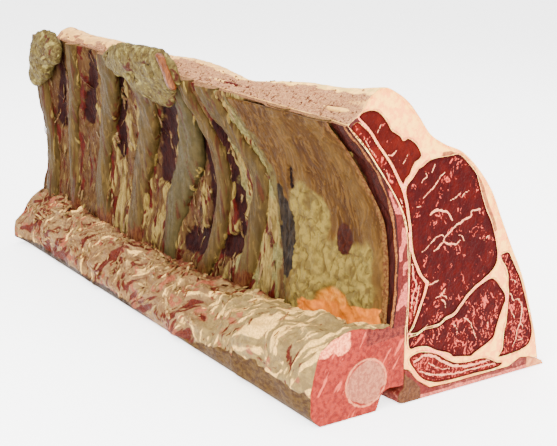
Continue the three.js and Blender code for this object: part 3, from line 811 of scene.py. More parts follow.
def lean_masks(p, n):
    x, y, z = p.T
    far = 1 - smooth(128, 150, x)
    creamy = along(CREAMY, x - 0.25 * (z - 120), 10)
    strand = lean_strand(p)
    shade = noise(p, (11, 13, 40), 21, 2)
    tone = strand + 0.6 * shade + 1.2 * (creamy - 0.4)
    # painted shade in the slits between the ribs, which the relief also sinks
    dark = np.zeros(len(p))
    ragged = 0.5 * noise(p, (7, 8, 22), 25, 3)
    for width, line in SLITS:
        away = distance_to(p[:, [0, 2]], line)[0] / (width / 2)
        dark = np.maximum(dark, smooth(1.25, 0.6, away + ragged))
    dark *= far * smooth(0.5, 5, off_rib(x, z) - 6)
    cream = far * smooth(-0.25, 0.65, tone)
    beside = bump_at(off_rib(x, z), 12.5, 6)
    red = far * smooth(0.05, 0.5, noise(p, (5, 9, 26), 23, 3) + 0.35 * beside - 0.25 * strand)
    green = smooth(70, 100, x) * far * smooth(-0.2, 0.4, noise(p, (14, 14, 30), 26, 3))
    sawn = smooth(0.5, 0.8, n[:, 2]) * smooth(wall_top(x) - 3, wall_top(x) - 0.5, z)
    cut = smooth(END - 1.5, END - 0.3, x)
    band = smooth(236, 247, x + 3 * noise(p, (9, 9, 12), 27, 2)) * (1 - sawn)
    depth = y - lean_front(x, z)
    rim = cut * (1 - smooth(0, 2.0, depth + 0.8 * noise(p, 3, 28, 2)))
    pale = cut * smooth(1.5, 3.5, depth) * (1 - smooth(140, 156, z + 4 * noise(p, 8, 29, 2)))
    lines = smooth(0.62, 0.86, ridges(p, (30, 4.2, 14), 30, 2))
    marble = pale * lines * smooth(-0.3, 0.3, noise(p, 12, 36, 2))
    foot = smooth(20, 8, z - chine_top(x)) * smooth(150, 175, x) * (1 - cut)
    flesh = (1 - sawn) * (1 - cut)
    return {"dark": dark * flesh, "cream": cream * flesh, "red": red * flesh, "green": green * flesh,
            "band": band, "foot": foot, "pale": pale, "marble": marble, "rim": rim, "sawn": sawn}


def lean_relief(p, n, masks):
    x, z = p[:, 0], p[:, 2]
    gap = between(x, z) * (1 - smooth(0.5, 0.8, n[:, 2])) * smooth(-0.1, -0.5, n[:, 1])
    strands = 2.2 * lean_strand(p)
    lumps = 1.6 * noise(p, (12, 12, 20), 32, 3)
    sunk = -4.5 * masks["dark"] + 1.6 * masks["cream"] * (1 - masks["dark"])
    edge = 0.35 * noise(p, 1.8, 34, 2) * (1 - gap)
    return settings().crags * (gap * (strands + lumps + sunk) + edge)


def lean_skin():
    def at(surface):
        def point(u, v):
            x = mix(-END, END, u)
            z = mix(chine_top(x) - 1.5, wall_top(x), v)
            return np.stack([x, surface(x, z), z], axis=-1)
        return point
    grain = settings().grain
    return slab(at(lean_front), at(wall_back), int(LENGTH / grain), int(150 / grain), 8, 9)


class LOIN_OT_rib_lean(bpy.types.Operator):
    """Makes the lean and the torn fat between the ribs"""
    bl_idname = "loin.rib_lean"
    bl_label = "Lean between the ribs"

    def execute(self, context):
        piece("rib_lean_body", lean_skin(), lean_finish(), lean_masks, lean_relief, ["rib_lean"])
        return {"FINISHED"}


# The smooth lining over the last two ribs

LINING_LEFT = [(50, 156), (80, 148), (110, 140), (146, 135), (186, 116)]
LINING_RIGHT = [(50, 254), (97, 254), (127, 253), (145, 248), (167, 244), (190, 244)]
LINING_FOOT = 46.0
FOOT_FAT = 7.0


def lining_front(x, z):
    ridge = 1.6 * (1 - smooth(4, 16, off_rib(x, z)))
    swell = FOOT_FAT * (1 - smooth(60, 120, z)) * smooth(120, 175, x) * (1 - smooth(225, 256, x))
    return rib_side(x, z) - 1 - ridge - swell * (1 + 0.35 * crag(2 * x, 0, 2 * z))


def spot(x, z, centre, half):
    """An oval patch of the rib side: one at its centre, nothing at its edge."""
    away = np.hypot((x - centre[0]) / half[0], (z - centre[1]) / half[1])
    return 1 - smooth(0.45, 1.0, away)


def lining_skin():
    def at(surface, inset):
        def point(u, v):
            z = mix(LINING_FOOT, wall_top(180) - 0.6, v)
            ragged = np.stack([z * 0, z * 0, z], axis=-1).reshape(-1, 3)
            wave = 2.5 * noise(ragged, 14, 41, 3).reshape(z.shape)
            x = mix(along(LINING_LEFT, z) + wave, along(LINING_RIGHT, z), u)
            thin = smooth(0, 0.05, u) * smooth(1, 0.96, u)
            return np.stack([x, surface(x, z) + inset * mix(0.2, 1, thin), z], axis=-1)
        return point
    grain = settings().grain * 0.85
    front = at(lining_front, 0.0)

    def back_surface(x, z):
        return np.maximum(lining_front(x, z), rib_side(x, z) - 3)
    return slab(front, at(back_surface, LINING_THICK), int(115 / grain), int(140 / grain), 3, 8)


def lining_masks(p, n):
    x, z = p[:, 0], p[:, 2]
    # painted shade: near-black in the sunk slit on the lining
    slit = bump_at(x, 163 + 0.35 * (z - 139), 5) * smooth(126, 134, z) * (1 - smooth(143, 151, z))
    ragged = noise(p, (10, 10, 16), 48, 3)
    grey = spot(x, z, (153, 90), (15, 34)) + 0.6 * spot(x, z, (146, 120), (9, 22))
    lumpy = (1 - smooth(84, 122, z)) * smooth(150, 172, x) * (1 - smooth(234, 252, x))
    lumpy = np.maximum(lumpy, spot(x, z, (176, 108), (30, 40)))
    hollow = spot(x, z, (211, 57), (26, 19))
    lumpy = smooth(0.0, 0.8, lumpy + 0.35 * ragged) * (1 - 0.8 * hollow)
    ridge = 1 - smooth(4, 13, off_rib(x, z))
    torn = swirl(p, 24, 310, 0.25)
    fold = smooth(0.8, 0.98, ridges(torn, (3.4, 8, 70), 43, 2))
    brown = smooth(0.0, 0.5, noise(torn, (7, 10, 50), 49, 3))
    red = spot(x, z, (214, 106), (11, 16))
    rim = smooth(6, 1, along(LINING_RIGHT, z) - x + 2.5 * noise(p, 5, 50, 2))
    left = smooth(12, 2, x - along(LINING_LEFT, z) + 5 * noise(p, 9, 51, 2))
    return {"slit": slit, "grey": smooth(0.25, 0.8, grey + 0.35 * ragged), "lumpy": lumpy, "hollow": hollow,
            "foot": smooth(14, 6, z - chine_top(x) + 3 * ragged) * smooth(165, 185, x),
            # painted shade: darker tan in the sunk creases of the lumpy fat
            "crease": lumpy * smooth(0.82, 0.97, ridges(swirl(p, 14, 312, 0.6), (9, 9, 16), 52, 2)),
            "ridge": ridge, "fold": fold * (1 - lumpy), "brown": brown * (1 - lumpy), "red": red, "rim": rim,
            "left": left * (1 - lumpy)}


def lining_relief(p, n, masks):
    face = smooth(-0.1, -0.5, n[:, 1])
    folds = 0.8 * masks["fold"] - 0.5 * masks["brown"] + 0.4 * noise(p, (7, 10, 40), 44, 2)
    lumps = masks["lumpy"] * (2.2 * noise(p, 16, 45, 3) + 0.8) - 1.2 * masks["crease"]
    slit = -3.0 * masks["slit"]
    pit = -2.6 * masks["hollow"]
    fine = 0.2 * noise(p, 2.2, 47, 2)
    return settings().crags * face * (folds * (1 - masks["lumpy"]) + lumps + slit + pit + fine
                                      - 0.8 * masks["grey"])


def lining_finish():
    finish = Finish("lining")
    finish.ground(base(160, 116, 58), base(144, 94, 44), 18, base(180, 142, 84), stretch=(0.8, 1, 3.2),
                  rough=(0.35, 0.55), warp=0.5)
    finish.layer("brown", base(128, 74, 34), base(140, 90, 46), size=4, edge=(0.3, 0.9), broken=0.5,
                 stretch=(1, 1, 5), strength=0.6)
    finish.layer("ridge", base(166, 128, 72), base(180, 146, 90), size=12, edge=(0.3, 0.9), broken=0.3,
                 strength=0.7)
    finish.layer("fold", base(194, 158, 98), size=3, edge=(0.4, 0.8), broken=0.5, strength=0.5,
                 stretch=(1, 1, 4))
    finish.layer("left", base(176, 160, 104), base(154, 126, 78), size=4, edge=(0.3, 0.8), broken=0.7,
                 stretch=(1, 1, 3))
    finish.layer("lumpy", base(206, 190, 130), base(186, 166, 108), size=9, edge=(0.15, 0.9), broken=0.5,
                 rough=0.5)
    # painted shade: darker tan in the sunk creases of the lumpy fat
    finish.layer("crease", base(160, 128, 76), size=3, edge=(0.4, 0.9), broken=0.5, strength=0.6)
    finish.layer("grey", base(112, 88, 62), base(70, 48, 34), size=5, edge=(0.4, 0.7), broken=0.8,
                 stretch=(1, 1, 2))
    finish.layer("hollow", base(236, 188, 112), base(242, 208, 142), size=7, edge=(0.2, 0.8), broken=0.3,
                 rough=0.35)
    finish.layer("foot", base(250, 206, 142), base(240, 190, 124), size=8, edge=(0.35, 0.65), broken=0.4)
    finish.layer("red", base(140, 66, 40), base(112, 46, 32), size=4, edge=(0.45, 0.75), broken=0.7)
    # painted shade: near-black in the sunk slit
    finish.layer("slit", base(60, 20, 15), size=3, edge=(0.35, 0.6), broken=0.4, rough=0.35)
    finish.layer("rim", base(196, 160, 108), base(168, 108, 70), size=3, edge=(0.4, 0.7), broken=0.5)
    finish.bumps((finish.noise(3.5, (1, 1, 4), detail=5), 0.5), (finish.noise(0.9, detail=3), 0.12))
    return finish.finish(glow=0.1, reach=(1.0, 0.55, 0.3), glow_mm=1.6, specular=0.03, dim=0.52)


class LOIN_OT_lining(bpy.types.Operator):
    """Makes the smooth yellow-tan lining with the soft fat at its foot"""
    bl_idname = "loin.lining"
    bl_label = "Lining"

    def execute(self, context):
        piece("rib_lining_sheet", lining_skin(), lining_finish(), lining_masks, lining_relief,
              ["rib_lining"])
        return {"FINISHED"}


# The chine

CHINE_SECTION = [(0.03, 0, 0), (-0.07, 7, 6), (-0.07, 21, 14), (-0.03, 38, 22), (0.04, 51, 30),
                 (0.16, 57, 38), (0.3, 59, 44), (0.46, 60, 48), (0.6, 59, 51)]
CLEAR_OF_RIBS = 0.6
NEAR_STRETCH = 170.0
CANAL_FROM, CANAL_TO = 0.7, 0.93
FRONT_LOBE = 9.0
CHINE_RING = 230
CHINE_STATIONS = 390


def chine_section(x):
    """The chine's outline across at a station, as corner points."""
    t = float(smooth(END - NEAR_STRETCH, END, x))
    back = float(wall_back(x, 55)) - GAP
    top = float(chine_top(x))
    sink = 5 * float(smooth(-240, -100, x) * (1 - smooth(120, 250, x)))
    points = []
    for i, (share, near, far) in enumerate(CHINE_SECTION):
        loose = 0 if i == 0 else 1
        ends = float(smooth(-END, 20 - END, x) * smooth(END, END - 15, x))
        lumpy = 2.6 * float(crag(x, 30 * i, 0)) * loose * ends
        height = max(0, mix(far, near, t) - (sink if i > 3 else 0) + (lumpy if i > 3 else 0))
        lobe = -FRONT_LOBE * (1 - float(smooth(-END, 30 - END, x))) * 0.72 if share < 0 else 0
        under = height if share < CLEAR_OF_RIBS else min(height, top)
        points.append((share * back + lobe + (0.8 * lumpy if 0 < i < 4 else 0), under))
    rear = (wall_back(x, CANAL_HEIGHT) - GAP) / back
    points += [(0.76 * back, top), (float(wall_back(x, top)) - GAP, top),
               (float(rear) * back, CANAL_HEIGHT + 3),
               (float(rear) * back, CANAL_HEIGHT), (CANAL_TO * back, CANAL_HEIGHT),
               (0.5 * (CANAL_FROM + CANAL_TO) * back, CANAL_HEIGHT + 1),
               ((CANAL_FROM + 0.03) * back, CANAL_HEIGHT - 2), (CANAL_FROM * back, 4),
               ((CANAL_FROM - 0.02) * back, 0)]
    return np.array(points)


def chine_skin():
    stations = np.linspace(-END, END, CHINE_STATIONS)
    sections = []
    for x in stations:
        ring = resampled(chine_section(x), CHINE_RING)
        for _ in range(2):
            soft = 0.25 * np.roll(ring, 1, axis=0) + 0.5 * ring + 0.25 * np.roll(ring, -1, axis=0)
            ring = np.where(ring[:, 1:] > 0.5, soft, ring)
        sections.append(np.insert(ring, 0, x, axis=1))
    return loft(np.array(sections), caps=1.1)


FACE_TURN = np.array([(1, 0, 0), (0, 0.85, 0.53), (0, -0.53, 0.85)])


def chine_strand(p):
    """The swirling torn fibres, from -1 in their hollows to 1 on their crests."""
    curled = swirl(p, 62.0, 90, 0.45)
    slant = curled @ np.array([(0.72, 0.69, 0.0), (-0.69, 0.72, 0.0), (0.0, 0.0, 1.0)])
    return 0.8 * noise(slant, (6.0, 40, 14), 93, 3) + 0.45 * noise(slant, (2.6, 18, 7), 94, 2)


def chine_masks(p, n):
    x, y, z = p.T
    share = y / wall_back(x, 55)
    strand = chine_strand(p)
    near = smooth(70, 190, x)
    cut = smooth(END - 1.5, END - 0.3, x)
    patch = noise(p, (30, 22, 22), 100, 2)
    tone = strand + 0.45 * patch + 0.35 * near
    broad = noise(p, (26, 16, 16), 103, 3)
    red = smooth(0.12, -0.32, tone) * smooth(-0.6, 0.0, broad + 0.3 * (1 - near))
    pink = smooth(0.0, 0.5, noise(p, (16, 12, 12), 104, 3) + 0.3 * strand - 0.15 * near)
    # cream fat on the crests of the fibres, partly a painted highlight
    pale = smooth(0.2, 0.75, tone)
    # painted shade: dark in the hollows between the torn fibres, weaker towards the near end
    dark = smooth(-0.45, -0.9, tone + 0.3 * noise(p, (12, 12, 12), 95, 3)) * (1 - 0.7 * near)
    dark *= smooth(0.0, 0.3, share)
    top = mix(0, 22, smooth(40, 180, x)) + 3 * noise(p, 12, 105, 2)
    saw = smooth(top + 1.5, top - 1.5, z) * smooth(0.34, 0.14, share)
    # painted shade: darker brown low on the front of the far half, where the surface rolls under
    under = smooth(12, 4, z) * smooth(0.3, 0.1, share) * (1 - smooth(-20, 60, x))
    away = np.hypot(y - 38, z - 22)
    disc = smooth(17.5, 13, away + 3.0 * noise(p, 9, 106, 3))
    ring = bump_at(away, 16, 2.2)
    crown = smooth(42, 50, z + 3 * noise(p, 8, 107, 2)) * smooth(30, 20, y)
    left = smooth(0.1, 0.6, noise(p @ FACE_TURN, (30, 2.6, 20), 108, 2))
    head = smooth(0, 3, (z - 45) - 0.08 * (y - 38)) * smooth(35, 40, y)
    foot = (1 - smooth(0, 12, chine_top(x) - z + 4 * noise(p, 7, 109, 2))) * smooth(0.5, 0.75, share)
    flesh = 1 - cut
    return {"red": red * flesh, "pink": pink * flesh, "pale": pale * flesh, "dark": dark * flesh,
            "saw": saw * flesh, "under": under * flesh, "cut": cut, "disc": disc * cut, "ring": ring * cut,
            "crown": crown * cut, "streak": left * cut, "head": head * cut,
            "yellow": smooth(40, 150, x) * flesh, "foot": foot * flesh * (1 - near)}


def chine_relief(p, n, masks):
    x, y, z = p.T
    share = y / wall_back(x, 55)
    up = smooth(0.5, 6, z) * (1 - masks["cut"]) * smooth(-END, 4 - END, x) * (1 - smooth(0.6, 1.0, n[:, 1]))
    torn = 5.5 * noise(p, (26, 15, 15), 96, 3)
    fibres = 3.4 * chine_strand(p)
    deep = -1.3 * masks["dark"] + 0.6 * masks["pale"]
    saw = masks["saw"]
    calm = 1 - 0.45 * masks["yellow"]
    cut = masks["cut"] * -(0.25 + 0.25 * noise(p, 3, 99, 3) - 0.3 * masks["ring"])
    carve = torn * (1 - 0.8 * saw) + (fibres * (1 - 0.85 * saw) + deep) * calm
    carve = carve + 0.5 * saw * noise(p, 3, 98, 2)
    return settings().crags * (up * carve * mix(0.6, 1, smooth(-0.1, 0.2, share))) + cut


def chine_finish():
    finish = Finish("chine")
    finish.ground(base(190, 162, 120), base(170, 134, 96), 9, base(204, 182, 138), stretch=(1.6, 1, 1),
                  rough=(0.45, 0.65), warp=1.2)
    finish.layer("yellow", base(196, 178, 130), base(178, 158, 112), size=8, edge=(0.3, 0.9), broken=0.6,
                 strength=0.8)
    finish.layer("pink", base(206, 140, 112), base(186, 112, 84), size=3, edge=(0.35, 0.75), broken=0.7,
                 warp=1.0, strength=0.8)
    finish.layer("red", base(160, 72, 46), base(134, 46, 30), size=2.2, edge=(0.32, 0.72), broken=0.9,
                 warp=1.0)
    # cream fat on the fibre crests, partly a painted highlight
    finish.layer("pale", base(224, 204, 154), base(236, 220, 178), size=2.2, edge=(0.3, 0.7), broken=0.8,
                 warp=1.0)
    # painted shade in the hollows between the torn fibres
    finish.layer("dark", base(104, 38, 25), base(80, 28, 18), size=3, edge=(0.42, 0.6), broken=0.7)
    finish.layer("foot", base(140, 66, 46), base(168, 116, 78), size=4, edge=(0.45, 0.7), broken=0.8)
    # painted shade low on the chine's front, where the surface rolls under
    finish.layer("under", base(116, 84, 52), base(84, 52, 34), size=4, edge=(0.4, 0.7), broken=0.8)
    finish.layer("saw", base(150, 116, 62), base(118, 76, 40), size=4, edge=(0.3, 0.7), broken=0.9,
                 stretch=(2, 1, 1), rough=0.7)
    finish.layer("cut", base(212, 104, 84), base(190, 70, 58), size=5, edge=(0.4, 0.6), broken=0.1,
                 rough=0.5)
    finish.layer("streak", base(232, 160, 138), size=2, edge=(0.4, 0.8), broken=0.5, strength=0.8)
    finish.layer("disc", base(216, 172, 146), base(204, 146, 122), size=4, edge=(0.4, 0.6), broken=0.15)
    finish.layer("ring", base(234, 198, 170), size=3, edge=(0.5, 0.95), broken=1.2, strength=0.6)
    finish.layer("crown", base(240, 206, 178), base(232, 170, 142), size=3, edge=(0.4, 0.6), broken=0.5)
    finish.layer("head", base(150, 52, 44), base(192, 92, 76), size=4, edge=(0.4, 0.6), broken=0.4)
    finish.bumps((finish.noise(2.6, (1.8, 1, 1), detail=6, warp=1.0), 1.0),
                 (finish.noise(0.8, detail=3), 0.2))
    return finish.finish(glow=0.06, reach=(1.0, 0.45, 0.25), glow_mm=1.4, specular=0.08)


class LOIN_OT_chine(bpy.types.Operator):
    """Makes the split chine bone under its swirls of torn fat and meat"""
    bl_idname = "loin.chine"
    bl_label = "Chine bone"

    def execute(self, context):
        piece("chine_body", chine_skin(), chine_finish(), chine_masks, chine_relief, ["chine_bone"])
        return {"FINISHED"}


# The split feather bones along the base

FEATHER_TOP = [(70, 24), (75, 21.5), (81, 13.5), (92, 6), (110, 5), (164, 5), (175, 9.5), (184, 8), (193, 5)]
FEATHER_LIP = 10.5
FEATHER_STATIONS = 220


def feather_top(x):
    """The plate's upper side at a station, from the back fat to the chine."""
    y, z = np.array(FEATHER_TOP[::-1], float).T
    here = np.full(len(y), float(x))
    return np.stack([np.maximum(carried(here, y, z), wall_back(x, 20) + GAP), z], axis=1)


def feather_skin():
    stations = np.linspace(-END, END, FEATHER_STATIONS)
    sections = []
    for x in stations:
        start = float(carried(x, wall_back(END, 20) * CANAL_TO + 1, 20))
        wall = float(wall_back(x, 20)) + GAP
        lower = [(mix(start, BACK_REACH, share), 1.0 if share == 0 else 0.0)
                 for share in (0, 0.03, 0.35, 0.7, 1)]
        ring = np.array(lower + [(BACK_REACH - 1.5, 3)] + feather_top(x).tolist()
                        + [(wall, FEATHER_LIP), (start - 0.4, FEATHER_LIP - 4)])
        sections.append(np.insert(resampled(ring, 190), 0, x, axis=1))
    return loft(np.array(sections), caps=0.8)


def feather_masks(p, n):
    x, y, z = p.T
    end = smooth(END - 1.5, END - 0.3, np.abs(x))
    strip = smooth(3.4, 1.8, z + 0.8 * noise(p, (40, 9, 6), 100, 2)) * end
    wedge = smooth(104, 92, y + 3 * noise(p, 7, 103, 2)) * end
    tan = smooth(0, 2.5, 27 - 0.9 * (y - 65) - z + 1.2 * noise(p, 5, 104, 2)) * end * smooth(86, 82, y)
    back = smooth(178, 186, y)
    return {"line": strip, "wedge": wedge, "tan": tan, "back": back}


def feather_relief(p, n, masks):
    rough = 0.5 * noise(p, 5, 101, 3) + 0.2 * noise(p, 1.6, 102, 2)
    return (rough - 0.3) * smooth(0.3, 1.5, p[:, 2])


def feather_finish():
    finish = Finish("split feather bones")
    finish.ground(base(206, 120, 108), base(186, 84, 74), 5, base(222, 168, 150), rough=(0.45, 0.6))
    finish.layer("wedge", base(186, 70, 60), base(204, 96, 84), size=4, edge=(0.4, 0.6), broken=0.4)
    finish.layer("line", base(240, 196, 180), base(228, 160, 146), size=3, edge=(0.4, 0.6), broken=0.6)
    finish.layer("tan", base(190, 140, 96), base(164, 104, 70), size=3, edge=(0.4, 0.6), broken=0.5)
    finish.layer("back", base(244, 216, 182), base(234, 190, 156), size=6, edge=(0.4, 0.7), broken=0.5)
    finish.bumps((finish.noise(1.8, detail=5), 0.5))
    return finish.finish(glow=0.1, glow_mm=1.5, specular=0.08, dim=0.55)


class LOIN_OT_feather_bones(bpy.types.Operator):
    """Makes the plate of split feather bones along the base"""
    bl_idname = "loin.feather_bones"
    bl_label = "Feather bones"

    def execute(self, context):
        piece("feather_plate", feather_skin(), feather_finish(), feather_masks, feather_relief,
              ["feather_bones"])
        return {"FINISHED"}


# The muscles that show on the fresh cut

MUSCLES = {
    "top_muscle": [(29, 195.6), (36, 198.5), (43.5, 197), (50, 190.5), (53.7, 185), (60.6, 180.5),
                   (63.5, 177.3), (67, 178.2), (71.5, 176), (75.5, 172), (78, 166.5), (76.5, 164.3),
                   (73.3, 162.5), (70.8, 159), (68.8, 155.3), (65.9, 152.4), (64.2, 149.9), (62.6, 151.5),
                   (58.6, 158), (55.4, 163.3), (49.7, 170.8), (44, 177.9), (39.2, 184.6), (34.4, 190)],
    "rib_side_muscle": [(23.5, 189.3), (27.5, 192), (32.5, 188.6), (37.1, 184.6), (42, 177.9), (47.7, 170.8),
                        (53.5, 163.3), (56.6, 158), (60.8, 150.6), (63.5, 145.2), (65, 141), (66.7, 135.6),
                        (67.9, 129.5), (69.4, 122.5), (69.9, 117.5), (69.2, 117.5), (67.6, 124), (65.4, 130),
                        (61, 138.5), (55, 147.8), (48, 158), (40, 169), (31, 180.5)],
    "eye_muscle": [(66.9, 147.5), (66.5, 143.3), (68.2, 137), (69.2, 132.6), (70.2, 127.5), (71.5, 121.5),
                   (72.1, 116.3), (72.6, 111.3), (73.7, 105), (75.4, 100), (78.2, 94), (80.4, 89.8),
                   (82.8, 86), (85.6, 83.4), (87.8, 81.3), (87.2, 78.5), (86.2, 75.5), (84.9, 71.8), (82, 65),
                   (79.6, 59.2), (76.5, 52.6), (74, 48.9), (79.4, 47.6), (86.4, 50), (91.3, 49.9),
                   (98.5, 50.5), (104, 53.5), (109.2, 54.7), (112.3, 56.3), (115, 59.2), (118.2, 62.3),
                   (121.3, 65.5), (125.4, 68.5), (129.6, 71.2), (134, 73.3), (138, 75.5), (143, 78.5),
                   (146.4, 81.8), (148.2, 85.5), (148.5, 89.6), (148.3, 92.5), (146.4, 100), (143.8, 107.8),
                   (140.4, 115.9), (136.4, 122.9), (133.2, 130), (130.6, 136.6), (128.1, 143.1),
                   (126, 148.4), (122.4, 152.8), (118.2, 156.9), (114.4, 160.6), (110.4, 163.2),
                   (107.4, 163.8), (104, 163.6), (100.2, 163.4), (95, 163.4), (90, 163.2), (84.8, 162.2),
                   (79.6, 159.2), (76.5, 158), (74, 155.2), (71.2, 152), (68.6, 149.8)],
    "deep_muscle": [(71.7, 104.5), (72.6, 103), (74.1, 98.5), (76.9, 92.5), (79.4, 87.8), (83, 83.4),
                    (84.9, 80.6), (84.6, 77.4), (83, 71.8), (80.2, 65), (77.8, 59.2), (74.7, 52.4), (72, 49),
                    (71.2, 52), (71.3, 60), (71.6, 70), (71.7, 80), (71.6, 90), (71.5, 98)],
    "under_muscle": [(72.6, 45.2), (79.4, 46), (86.4, 48.5), (91.3, 48.4), (98.5, 48.9), (103.8, 51.7),
                     (106.2, 52.3), (109.8, 53), (113.2, 54.7), (116.2, 57.7), (119.4, 60.8), (122.4, 63.8),
                     (126.4, 66.8), (130.4, 69.4), (134.6, 71.3), (139, 73), (143.5, 73.9), (147.3, 72.3),
                     (152.9, 66.3), (157.3, 60.3), (158, 55.3), (155.9, 50.1), (153.3, 44.1), (150.9, 36.8),
                     (148.6, 30.4), (142.9, 27), (137.2, 24.7), (131.4, 22.3), (128.4, 20.8), (123.1, 21.7),
                     (117.5, 22.8), (112, 24), (108.6, 27), (102, 29.7), (96.4, 32), (90.8, 35.2),
                     (86.6, 36.6), (79.7, 37.4), (74.3, 37.4), (72.3, 41.4)],
    "cap_muscle": [(152, 89), (156, 90.2), (159.1, 89.6), (162.3, 84.9), (166.6, 77.6), (170.2, 72),
                   (172.5, 67.2), (175.2, 60.3), (177.8, 53.5), (181, 44.6), (183.4, 37.4), (185.2, 31.7),
                   (185.8, 24.2), (183, 17.9), (176.3, 15.3), (167.5, 14.3), (160.1, 13.9), (154.6, 14.6),
                   (156, 17), (157.6, 19.5), (158.1, 25), (158.5, 32.5), (159.9, 37.7), (160.4, 44.4),
                   (160.8, 53.9), (161, 60.7), (160, 66.2), (159.4, 73.4), (156.8, 80.3), (153, 85.3)],
    "feather_muscle": [(73.6, 30.5), (80, 33.2), (90, 31.6), (99, 27.8), (107, 22.5), (115, 18.6), (126, 17),
                       (140, 16.6), (147, 13.8), (153, 10.6), (158, 9.2), (156, 7.2), (130, 7), (112, 7.2),
                       (97, 8.6), (86, 13.6), (79, 21)],
}
LEAN_TONES = {
    "top_muscle": ((176, 60, 46), (150, 40, 32)),
    "rib_side_muscle": ((186, 66, 52), (152, 38, 30)),
    "eye_muscle": ((158, 42, 34), (132, 26, 22)),
    "deep_muscle": ((178, 56, 48), (146, 32, 28)),
    "under_muscle": ((160, 42, 36), (134, 26, 24)),
    "cap_muscle": ((170, 44, 36), (140, 28, 24)),
    "feather_muscle": ((190, 74, 64), (150, 36, 32)),
}
# How thickly each muscle is marbled with fine fat
MARBLED = {"top_muscle": 0.2, "rib_side_muscle": 0.55, "eye_muscle": 0.3, "deep_muscle": 1.0,
           "under_muscle": 0.6, "cap_muscle": 0.95, "feather_muscle": 1.0}

# Veins of fat on the fresh cut, each a width and a line of (across, height)
VEINS = {
    "eye_muscle": [
        (1.2, [(98.4, 152.9), (95, 150.9), (92, 148), (89.8, 144.5), (86.4, 142.2), (80.8, 138.1)]),
        (0.7, [(82.8, 155.1), (83.2, 152.4), (79.9, 150.1), (78.6, 148.6)]),
        (0.7, [(89.4, 160.2), (89.1, 157.6), (87.3, 154)]),
        (1.0, [(112.3, 137.5), (108.5, 135.5), (103.3, 133.7)]),
        (0.7, [(120.9, 139.2), (116.3, 136.7), (112.9, 133.8)]),
        (1.9, [(87.1, 126.6), (90.5, 128.6), (95.1, 128.7), (99, 127.1), (102.6, 125.5), (104.9, 122.6),
               (106.1, 120.5)]),
        (1.6, [(130.2, 124.7), (122.9, 123.7), (123.1, 120.6), (116.6, 119), (106.8, 114), (99.9, 108.8),
               (99, 106.2)]),
        (1.2, [(99, 106.2), (95.2, 103.4), (91.1, 101.2)]),
        (1.4, [(99, 106.2), (103.7, 104.6), (111.7, 103.9), (113.8, 105)]),
        (1.0, [(99.8, 111.1), (92.8, 110.5), (88.7, 107.2), (82, 102.4)]),
        (0.9, [(112.8, 109.1), (115.8, 107.5), (117.1, 104.5)]),
        (0.7, [(140.4, 104.9), (135.3, 102.2)]),
        (1.0, [(75.5, 133.4), (79.3, 132.8)]),
        (1.2, [(88.3, 78.6), (96.4, 80.8)]),
        (1.1, [(103.2, 73.7), (99.6, 70.7), (95.1, 68.9)]),
        (1.0, [(99.6, 70.7), (104.5, 66.8)]),
        (1.0, [(98.9, 67.1), (102.7, 64.1), (103.4, 59.9)]),
        (1.3, [(79, 47.5), (84, 47.4), (89, 51.5)]),
    ],
    "top_muscle": [
        (1.2, [(58, 172), (54.5, 169), (51.5, 170)]),
        (0.8, [(67, 168), (64, 163)]),
        (0.7, [(45, 189), (43, 184)]),
    ],
    "under_muscle": [
        (0.8, [(111.1, 47.5), (114.2, 43.1), (114.4, 39.2)]),
        (0.8, [(129.3, 39.2), (131, 35), (132.1, 33.2)]),
        (0.9, [(142.3, 42.8), (143.6, 38.7)]),
        (0.9, [(120, 50), (126, 46), (129, 41)]),
    ],
    "cap_muscle": [
        (1.2, [(163, 60.1), (165.5, 54.8), (171, 53.3), (174, 49.3), (174.9, 41.1), (173.3, 35),
               (170.6, 28.8),
               (170, 23.3), (167.2, 19.4)]),
        (0.8, [(163.4, 70.2), (167.7, 67)]),
        (0.8, [(154.3, 84), (157.6, 80.6)]),
        (0.9, [(172, 23.3), (177.3, 22.8)]),
        (0.8, [(164.1, 46.9), (167.6, 41.5)]),
        (0.8, [(174, 36), (177, 31)]),
    ],
    "rib_side_muscle": [
        (0.6, [(33, 182), (37, 175.5), (41, 170.5)]),
        (0.6, [(48, 162), (52, 156), (55.5, 151)]),
        (0.6, [(62, 141), (65, 134)]),
    ],
    "deep_muscle": [
        (1.4, [(73.6, 96), (74.8, 88), (77.6, 81), (75, 74), (74.5, 66)]),
        (0.9, [(80, 80), (78, 70), (76, 60)]),
    ],
    "feather_muscle": [
        (2.2, [(78, 27), (86, 30), (96, 27), (106, 20.5), (122, 14.5), (146, 14)]),
        (1.4, [(82, 20), (90, 16), (106, 12), (130, 10.5), (152, 10)]),
        (0.8, [(90, 24), (100, 18), (112, 15)]),
    ],
}
MUSCLE_RIM = 260
MUSCLE_STATIONS = (-END, -190.0, -120.0, -40.0, 20.0, 60.0, 100.0, 150.0, 200.0, 240.0, END)
CUT_SINK = 0.25


def rim_of(name, grow=0.0):
    ring = curve(MUSCLES[name], MUSCLE_RIM if name != "deep_muscle" else 170, closed=True)
    return ring + outward(ring) * grow


def at_station(x, ring):
    """A ring of the fresh cut carried to a station."""
    along_x = np.full(len(ring), x)
    y, z = ring.T
    return np.stack([along_x, carried(along_x, y, z), carried_height(along_x, y, z)], axis=1)


def muscle_skin(name, spacing):
    ring = rim_of(name, -0.03)
    skin = Skin()
    stations = [-END] + [x for x in MUSCLE_STATIONS[1:-1]] + [END - 2.0, END - 0.8, END]
    ids = skin.add(np.stack([at_station(x, ring) for x in stations], axis=0))
    skin.sheet(ids, around=True)
    for end, x, gap in ((0, -END, 2.0), (-1, END, spacing)):
        rim = at_station(x, ring)[:, 1:]
        inner = scattered([rim], gap, 60)
        skin.fill([(ids[end], rim)], inner, lambda p, x=x: np.insert(p, 0, x, axis=1))
    return skin


